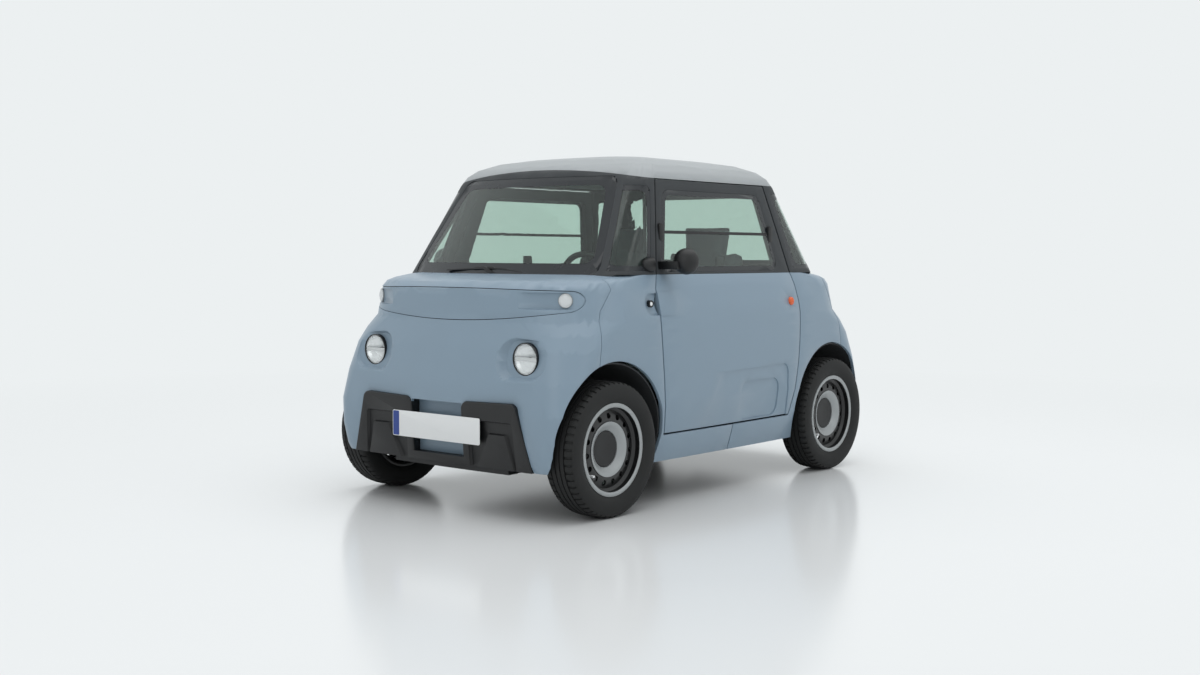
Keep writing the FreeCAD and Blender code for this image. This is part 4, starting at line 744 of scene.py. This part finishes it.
@dataclass
class Fittings:
    """Plates, wiper, window bar ends, latches, locks, mirror feet and mirror glass."""

    wiper_spot: tuple[float, float] = (-40.0, 1016.0)
    wiper_lift: float = 22.0
    wiper_knob_place: Triple = (33.0, -900.0, 956.0)
    lock_place: Triple = (669.5, -608.0, 864.0)
    marker_depth: float = 8.0
    mirror_glass_place: Triple = (730.0, -426.2, 1041.0)
    mirror_foot_place: Triple = (628.0, -549.0, 1025.0)
    mirror_foot_length_share: float = 1.9

    def both_ways(self, source: bpy.types.Object, left: str, right: str) -> None:
        """Keeps a left-hand piece and its half-turned copy, each on its own body."""
        twin = copy_of(source, source.name + "_turned", TURNED)
        mount(source, left)
        mount(twin, right)

    def plates(self) -> None:
        """White blanks with a plain blue end, on both brackets."""
        blank = [(-260, 294), (260, 294), (260, 404), (-260, 404)]
        blue_end = [(-257, 297), (-220, 297), (-220, 401), (-257, 401)]
        plate = slab("plate_blank", blank, "Y", -1208.6, -1206.4, 8, 0.4)
        strip = slab("plate_blue_end", blue_end, "Y", -1209, -1207.6, 5)
        dress(plate, PLATE)
        dress(strip, PLATE_BLUE)
        for source in (plate, strip):
            twin = copy_of(source, source.name + "_rear", TURNED)
            for piece in (source, twin):
                if source is plate:
                    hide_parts("number_plates")
                mount(piece, "body")
        LOG.info("plates")

    def surface_at(self, across: float, height: float) -> float:
        """Finds how far forward the screen or its frame comes at a place seen from the front.

        Args:
            across: The place's distance from the middle, in metres.
            height: Its height.

        Returns:
            The place along the car, in metres.
        """
        places = []
        for name in ("windscreen_frame_skin", "windscreen_border", "windscreen_clear"):
            skin = bpy.data.objects[name]
            found, place, _normal, _face = skin.ray_cast(Vector((across, -2, height)), Vector((0, 1, 0)))
            if found:
                places.append(place.y)
        return min(places)

    def wiper(self) -> None:
        """The blade lies along the foot of the windscreen; its arm comes up from the cowl."""
        edges = [(-277, 979), (-60, 989), (60, 988), (183, 972)]
        edges += [(183, 967), (60, 981), (-60, 982), (-277, 974)]
        blade = slab("wiper_blade", edges, "Y", -900, -888, 1.5, 1.0)
        claw = slab("wiper_claw", [(-96, 992), (14, 994), (30, 984), (-110, 982)], "Y", -903, -891, 5, 1.5)
        arm = slab("wiper_arm", [(-50, 990), (-30, 994), (42, 962), (24, 950)], "Y", -912, -898, 5, 2.0)
        knob = turned("wiper_knob", [(-20, 13), (6, 13), (12, 11), (14, 6)], 32)
        knob.data.transform(at(self.wiper_knob_place) @ FACING_NOSE)
        smooth(knob, 35)
        back = max(vertex.co.y for vertex in claw.data.vertices)
        ahead = self.surface_at(self.wiper_spot[0] * MM, self.wiper_spot[1] * MM) - back
        for piece in (blade, claw, arm, knob):
            piece.data.transform(Matrix.Translation((0, ahead, self.wiper_lift * MM)))
            dress(piece, GLOSS_BLACK)
            mount(piece, "body")
        LOG.info("wiper")

    def window_hardware(self) -> None:
        """Oval ends of the window bar on the pillars and the latch at the foot of the flap."""
        for name, along in (("bar_end_front", -459.0), ("bar_end_rear", 391.0)):
            outline = [(along - 16, 1128), (along + 16, 1128), (along + 16, 1204), (along - 16, 1204)]
            piece = slab(name, outline, "X", 596, 614, 13, 3.0)
            dress(piece, BLACK)
            self.both_ways(piece, "door_left", "door_right")
        handle = [(-48, 1000), (40, 1000), (24, 1030), (26, 1060), (-34, 1060), (-32, 1030)]
        latch = slab("window_latch", handle, "X", 588, 600, 5, 2.5)
        dress(latch, BLACK)
        self.both_ways(latch, "door_left", "door_right")
        LOG.info("window hardware")

    def locks(self) -> None:
        """A key lock in each grip pocket."""
        ring = turned("lock_ring", [(-14, 15), (4, 15), (6, 13.5), (5, 10), (2, 9)], 40)
        barrel = turned("lock_barrel", [(-2, 8.8), (3.4, 8.8), (4.4, 7.4), (4, 1)], 32)
        dress(ring, GLOSS_BLACK)
        dress(barrel, REFLECTOR)
        for piece in (ring, barrel):
            piece.data.transform(at(self.lock_place))
            smooth(piece, 35)
            self.both_ways(piece, "body", "body")
        LOG.info("locks")

    def markers(self) -> None:
        """A domed amber marker on each door."""
        low, high = (Vector(corner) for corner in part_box("side_marker_left"))
        middle = (low + high) / 2
        dome = turned("marker_dome", [(-8, 20), (2, 20), (8, 18), (12, 13), (14, 7), (14.6, 1)], 48)
        dress(dome, AMBER)
        smooth(dome, 40)
        dome.data.transform(Matrix.Translation((high.x - self.marker_depth * MM, middle.y, middle.z)))
        twin = copy_of(dome, "marker_dome_turned", TURNED)
        for piece, side in ((dome, "left"), (twin, "right")):
            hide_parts("side_marker_" + side)
            mount(piece, "door_" + side)
        LOG.info("markers")

    def mirrors(self) -> None:
        """The mirror glass behind each round head and the fixed foot ahead of the left door."""
        glass = turned("mirror_glass", [(-1, 49), (1.2, 49), (2, 46), (2.2, 2)], 48)
        dress(glass, MIRROR)
        smooth(glass, 35)
        glass.data.transform(at(self.mirror_glass_place) @ FACING_TAIL)
        twin = copy_of(glass, "mirror_glass_right", MIRRORED)
        mount(glass, "door_left")
        mount(twin, "door_right")
        foot = turned("mirror_foot", [(-16, 32), (4, 32), (14, 28), (21, 19), (24, 2)], 40)
        longer = Matrix.Diagonal((1.0, self.mirror_foot_length_share, 1.0, 1.0))
        foot.data.transform(at(self.mirror_foot_place) @ longer)
        half = slab("foot_cutter", [(-549, 900), (-400, 900), (-400, 1150), (-549, 1150)], "X", 500, 800)
        carve(foot, half)
        drop(half)
        soften(foot, 2.0)
        dress(foot, BLACK)
        twin = copy_of(foot, "mirror_foot_right", MIRRORED)
        mount(foot, "body")
        mount(twin, "body")
        LOG.info("mirrors")

    def make(self) -> None:
        """Makes every fitting."""
        self.plates()
        self.wiper()
        self.window_hardware()
        self.locks()
        self.markers()
        self.mirrors()


@dataclass
class Seats:
    """Padded seats: each CAD seat is shrunk a little, then swelled as cloth under air pressure."""

    nodes: dict[str, bpy.types.Object]
    voxel: float = 6.0
    pressure: float = 4.0
    cap: float = 24.0
    frames: int = 20

    def swell(self, piece: bpy.types.Object) -> None:
        """Blows the piece up as cloth, with each point's way capped."""
        rest = [vertex.co.copy() for vertex in piece.data.vertices]
        pick(piece)
        cloth = piece.modifiers.new("Cloth", "CLOTH")
        cloth.settings.use_pressure = True
        cloth.settings.uniform_pressure_force = self.pressure
        cloth.settings.effector_weights.gravity = 0.0
        cloth.point_cache.frame_end = self.frames
        for step in range(1, self.frames + 1):
            bpy.context.scene.frame_set(step)
        pick(piece)
        bpy.ops.object.modifier_apply(modifier=cloth.name)
        bpy.context.scene.frame_set(1)
        for vertex, start in zip(piece.data.vertices, rest):
            way = vertex.co - start
            if way.length > self.cap * MM:
                vertex.co = start + way.normalized() * self.cap * MM

    def make(self) -> None:
        """Pads the driver's seat and copies it for the passenger."""
        piece = merged(self.nodes["driver_seat"], "driver_padding")
        apply_modifier(piece, "REMESH", mode="VOXEL", voxel_size=self.voxel * MM)
        apply_modifier(piece, "DISPLACE", strength=-0.010, mid_level=0.0)
        self.swell(piece)
        apply_modifier(piece, "SMOOTH", factor=0.5, iterations=16)
        dress(piece, CLOTH)
        smooth(piece, 60)
        low, _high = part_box("driver_seat")
        other, _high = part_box("passenger_seat")
        twin = copy_of(piece, "passenger_padding", Matrix.Translation(Vector(other) - Vector(low)))
        for cushion, node in ((piece, "driver_seat"), (twin, "passenger_seat")):
            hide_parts(node)
            mount(cushion, "body")
            LOG.info("seat %s: %d faces", cushion.name, len(cushion.data.polygons))


@dataclass
class Cabin:
    """What shows through the glass: dashboard and steering wheel."""

    nodes: dict[str, bpy.types.Object]

    def make(self) -> None:
        """Carries both over with soft edges."""
        for node, body, finish, edge in (
            ("dashboard", "body", MAT, 5.0),
            ("steering_wheel", "steering_wheel_body", BLACK, 0.8),
        ):
            piece = merged(self.nodes[node], node + "_skin")
            soften(piece, edge)
            dress(piece, finish)
            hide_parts(node)
            mount(piece, body)
            LOG.info("cabin %s", node)


@dataclass
class Wheel:
    """A steel wheel with a trim ring, a dished grey ring, a cap and a treaded tyre."""

    segments: int = 72
    hole_count: int = 15
    blocks: int = 56
    tyre_outline: tuple[tuple[float, float], ...] = (
        (50, 180), (58, 184), (61, 190), (70, 203), (75.5, 218), (77.2, 232), (77, 246),
        (75, 258), (71, 268), (65, 273.5), (56, 276), (40, 277.6), (20, 278.3), (0, 278.5),
    )
    corners: tuple[tuple[str, Side, End], ...] = (
        ("front_left", Side.LEFT, End.FRONT),
        ("front_right", Side.RIGHT, End.FRONT),
        ("rear_left", Side.LEFT, End.REAR),
        ("rear_right", Side.RIGHT, End.REAR),
    )

    def tyre(self) -> bpy.types.Object:
        """The tyre about the origin: four grooves round it and blocks cut across its shoulders."""
        half = [ring for ring in self.tyre_outline if ring[0] > 42]
        for along in (36.0, 12.0):
            half += [(along + 3, 277.8), (along + 2.4, 271.5), (along - 2.4, 271.5), (along - 3, 278.0)]
        rings = half + [(-x, r) for x, r in reversed(half)]
        rings += [(-50, 186), (-58, 215), (-50, 255), (0, 264), (50, 255), (58, 215), (50, 186)]
        piece = turned("tyre", rings, self.blocks * 3, closed=True)
        mesh = bmesh.new()
        mesh.from_mesh(piece.data)
        step = math.tau / (self.blocks * 3)
        sunk = []
        for face in mesh.faces:
            middle = face.calc_center_median()
            radius = math.hypot(middle.y, middle.z)
            turn = int(round((math.atan2(middle.z, middle.y) % math.tau) / step - 0.5))
            if radius > 0.2655 and abs(middle.x) > 0.041 and turn % 3 == 0:
                sunk.append(face)
        bmesh.ops.inset_region(mesh, faces=sunk, thickness=0.0012, depth=-0.0045, use_even_offset=True)
        mesh.to_mesh(piece.data)
        mesh.free()
        dress(piece, RUBBER)
        smooth(piece, 35)
        return piece

    def disc(self) -> bpy.types.Object:
        """The steel wheel: barrel, pressed disc with a ring of holes, and the hub's stub."""
        rings = [
            (-40, 14), (-40, 14.01), (4, 14), (4, 55), (22, 92), (30, 112), (31, 122), (27, 140),
            (22, 152), (-26, 153), (-36, 172), (-60, 173), (-62, 176), (-62, 188), (-60, 190),
            (-57, 188), (-56, 178), (-34, 178), (-24, 158),
            (24, 158), (34, 178), (56, 178), (57, 188), (60, 190), (62, 188), (62, 176), (60, 173), (40, 172),
            (30, 160), (32, 150), (37, 138), (38, 124), (37, 112), (29, 94), (13, 76), (11, 60), (11, 10),
        ]
        piece = turned("disc", rings, self.segments)
        drill = turned("drill", [(0, 12), (60, 12)], 20)
        for i in range(self.hole_count):
            angle = math.tau * i / self.hole_count
            spot = Matrix.Rotation(angle, 4, "X") @ Matrix.Translation((0, 0, 0.137))
            hole = copy_of(drill, "hole", spot)
            carve(piece, hole)
            drop(hole)
        drop(drill)
        dress(piece, WHEEL_BLACK)
        smooth(piece, 40)
        return piece

    def valve(self) -> bpy.types.Object:
        """The valve stem near the edge of the disc."""
        piece = turned("valve", [(20, 4.5), (48, 4.5), (49, 6), (62, 5.5), (64, 3)], 20)
        piece.data.transform(Matrix.Rotation(math.radians(128), 4, "X") @ Matrix.Translation((0, 0, 0.155)))
        dress(piece, WHITE)
        smooth(piece, 40)
        return piece

    def make(self) -> None:
        """Builds one wheel and copies it to the four corners."""
        tyre, disc = self.tyre(), self.disc()
        cap = turned("cap", [(8, 74), (14, 75), (18, 73), (19, 66), (17, 40), (16, 6)], self.segments)
        dress(cap, BLACK)
        smooth(cap, 35)
        dish = [(20, 113), (40, 113), (39, 104), (31, 92), (25, 82), (20, 76), (14, 75), (12, 90)]
        ring = turned("ring", dish, self.segments, closed=True)
        dress(ring, WHEEL_GREY)
        smooth(ring, 35)
        trim = turned("trim", [(50, 174), (62, 173), (65, 177), (66, 184), (64, 190.5), (60, 191), (57, 184)],
                      self.segments, closed=True)
        dress(trim, WHEEL_GREY)
        smooth(trim, 35)
        valve = self.valve()
        for corner, side, end in self.corners:
            place = at((side.value * TRACK_SIDE, end.value * AXLE, WHEEL_HEIGHT))
            turn = UNTURNED if side is Side.LEFT else TURNED
            body = "wheel_" + corner
            for source, name, node in (
                (tyre, "treaded_tyre_", "tyre_"),
                (disc, "steel_wheel_", "rim_"),
                (cap, "centre_cap_", None),
                (ring, "dished_ring_", None),
                (trim, "trim_ring_", None),
                (valve, "valve_stem_", None),
            ):
                piece = copy_of(source, name + corner, place @ turn)
                if node:
                    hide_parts(node + corner)
                mount(piece, body)
            LOG.info("wheel %s", corner)
        drop(tyre, disc, cap, ring, trim, valve)


@dataclass
class Studio:
    """A plain pale floor, soft lamps and the camera at the photograph's place."""

    camera_place: Triple = (4.24348, -5.24849, 1.07144)
    azimuth: float = 39.67
    elevation: float = 3.41
    roll: float = 0.17
    lens: float = 42.08
    surround: tuple[float, float] = (0.16, 1.22)
    floor_reach: tuple[float, float] = (2.2, 7.0)

    def floor(self) -> None:
        """The floor, in one pale colour."""
        deselect()
        bpy.ops.mesh.primitive_plane_add(size=60, location=(0, 0, 0))
        plane = bpy.context.object
        plane.name = "studio_floor"
        material = bpy.data.materials.new("plain_floor")
        material.use_nodes = True
        shader = material.node_tree.nodes["Principled BSDF"]
        shader.inputs["Base Color"].default_value = linear("#EDEFEF")
        shader.inputs["Roughness"].default_value = 0.17
        shader.inputs["Specular IOR Level"].default_value = 0.45
        place = add_node(material, "ShaderNodeTexCoord").outputs["Object"]
        far = add_node(material, "ShaderNodeVectorMath", {"operation": "LENGTH"}, {"0": place})
        share = add_node(
            material,
            "ShaderNodeMapRange",
            {"From Min": self.floor_reach[0], "From Max": self.floor_reach[1]},
            {"Value": far.outputs["Value"]},
        )
        glow = add_node(material, "ShaderNodeEmission", {"Color": linear("#ECF0F1")})
        blend = add_node(
            material,
            "ShaderNodeMixShader",
            links={"0": share.outputs["Result"], "1": shader.outputs["BSDF"], "2": glow.outputs["Emission"]},
        )
        target = material.node_tree.nodes["Material Output"].inputs["Surface"]
        material.node_tree.links.new(blend.outputs["Shader"], target)
        plane.data.materials.append(material)

    def lamps(self) -> None:
        """Large soft area lamps over and beside the car, and a pale surround."""
        world = bpy.data.worlds.new("studio_world")
        bpy.context.scene.world = world
        world.use_nodes = True
        tree = world.node_tree
        soft = tree.nodes["Background"]
        soft.inputs["Color"].default_value = linear("#F4F6F8")
        place = tree.nodes.new("ShaderNodeTexCoord")
        parts = tree.nodes.new("ShaderNodeSeparateXYZ")
        rise = tree.nodes.new("ShaderNodeMapRange")
        rise.inputs["To Min"].default_value, rise.inputs["To Max"].default_value = self.surround
        tree.links.new(place.outputs["Generated"], parts.inputs["Vector"])
        tree.links.new(parts.outputs["Z"], rise.inputs["Value"])
        tree.links.new(rise.outputs["Result"], soft.inputs["Strength"])
        backdrop = tree.nodes.new("ShaderNodeBackground")
        backdrop.inputs["Color"].default_value = linear("#ECF0F1")
        path = tree.nodes.new("ShaderNodeLightPath")
        seen = tree.nodes.new("ShaderNodeMath")
        seen.operation = "MAXIMUM"
        either = tree.nodes.new("ShaderNodeMath")
        either.operation = "MAXIMUM"
        blend = tree.nodes.new("ShaderNodeMixShader")
        tree.links.new(path.outputs["Is Camera Ray"], seen.inputs[0])
        tree.links.new(path.outputs["Is Transmission Ray"], seen.inputs[1])
        tree.links.new(seen.outputs["Value"], either.inputs[0])
        tree.links.new(path.outputs["Is Glossy Ray"], either.inputs[1])
        tree.links.new(either.outputs["Value"], blend.inputs["Fac"])
        tree.links.new(soft.outputs["Background"], blend.inputs[1])
        tree.links.new(backdrop.outputs["Background"], blend.inputs[2])
        tree.links.new(blend.outputs["Shader"], tree.nodes["World Output"].inputs["Surface"])
        for name, place, size, power in (
            ("overhead", (0.5, 0.5, 6.5), 7.0, 130.0),
            ("nose_side", (2.5, -7.5, 4.2), 4.0, 40.0),
            ("flank_side", (8.0, 1.5, 4.0), 4.0, 30.0),
        ):
            light = bpy.data.lights.new(name, "AREA")
            light.size = size
            light.energy = power
            lamp = bpy.data.objects.new(name, light)
            bpy.context.scene.collection.objects.link(lamp)
            lamp.location = place
            lamp.rotation_euler = (Vector((0, 0, 0.6)) - Vector(place)).to_track_quat("-Z", "Y").to_euler()

    def camera(self) -> None:
        """The camera as fitted to the photograph."""
        data = bpy.data.cameras.new("photo_camera")
        data.lens = self.lens
        data.sensor_width = 36.0
        camera = bpy.data.objects.new("photo_camera", data)
        bpy.context.scene.collection.objects.link(camera)
        azimuth, elevation = math.radians(self.azimuth), math.radians(self.elevation)
        forward = Vector((-math.sin(azimuth) * math.cos(elevation), math.cos(azimuth) * math.cos(elevation),
                          -math.sin(elevation)))
        right = forward.cross(Vector((0, 0, 1))).normalized()
        up = right.cross(forward)
        roll = math.radians(self.roll)
        right, up = right * math.cos(roll) + up * math.sin(roll), up * math.cos(roll) - right * math.sin(roll)
        turn = Matrix((right, up, -forward)).transposed()
        camera.matrix_world = Matrix.Translation(self.camera_place) @ turn.to_4x4()
        bpy.context.scene.camera = camera
        bpy.context.scene.view_settings.view_transform = "Standard"


def main() -> None:
    """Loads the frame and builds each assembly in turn."""
    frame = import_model()
    nodes = frame["nodes"]
    plain = {
        "front_suspension": CHASSIS,
        "steering_rack": CHASSIS, "drive_unit": CAST, "rear_axle": CHASSIS, "wheelhouse_liners": MAT,
        "floor_pan": MAT, "chassis_frame": CHASSIS, "hinge_posts": CHASSIS,
        "seat_base": MAT, "battery": MAT,
    }
    for name, finish in plain.items():
        dress(nodes[name], finish)
    for name, node in nodes.items():
        if name.startswith(("knuckle", "tie_rod", "door_hinges")):
            dress(node, CHASSIS)
        if name.startswith("window_bar"):
            dress(node, BLACK)
    Panels(nodes).make()
    Panes(nodes).make()
    Wheel().make()
    Lamps().make()
    Fittings().make()
    Cabin(nodes).make()
    Seats(nodes).make()
    studio = Studio()
    studio.floor()
    studio.lamps()
    studio.camera()


if __name__ == "__main__":
    main()
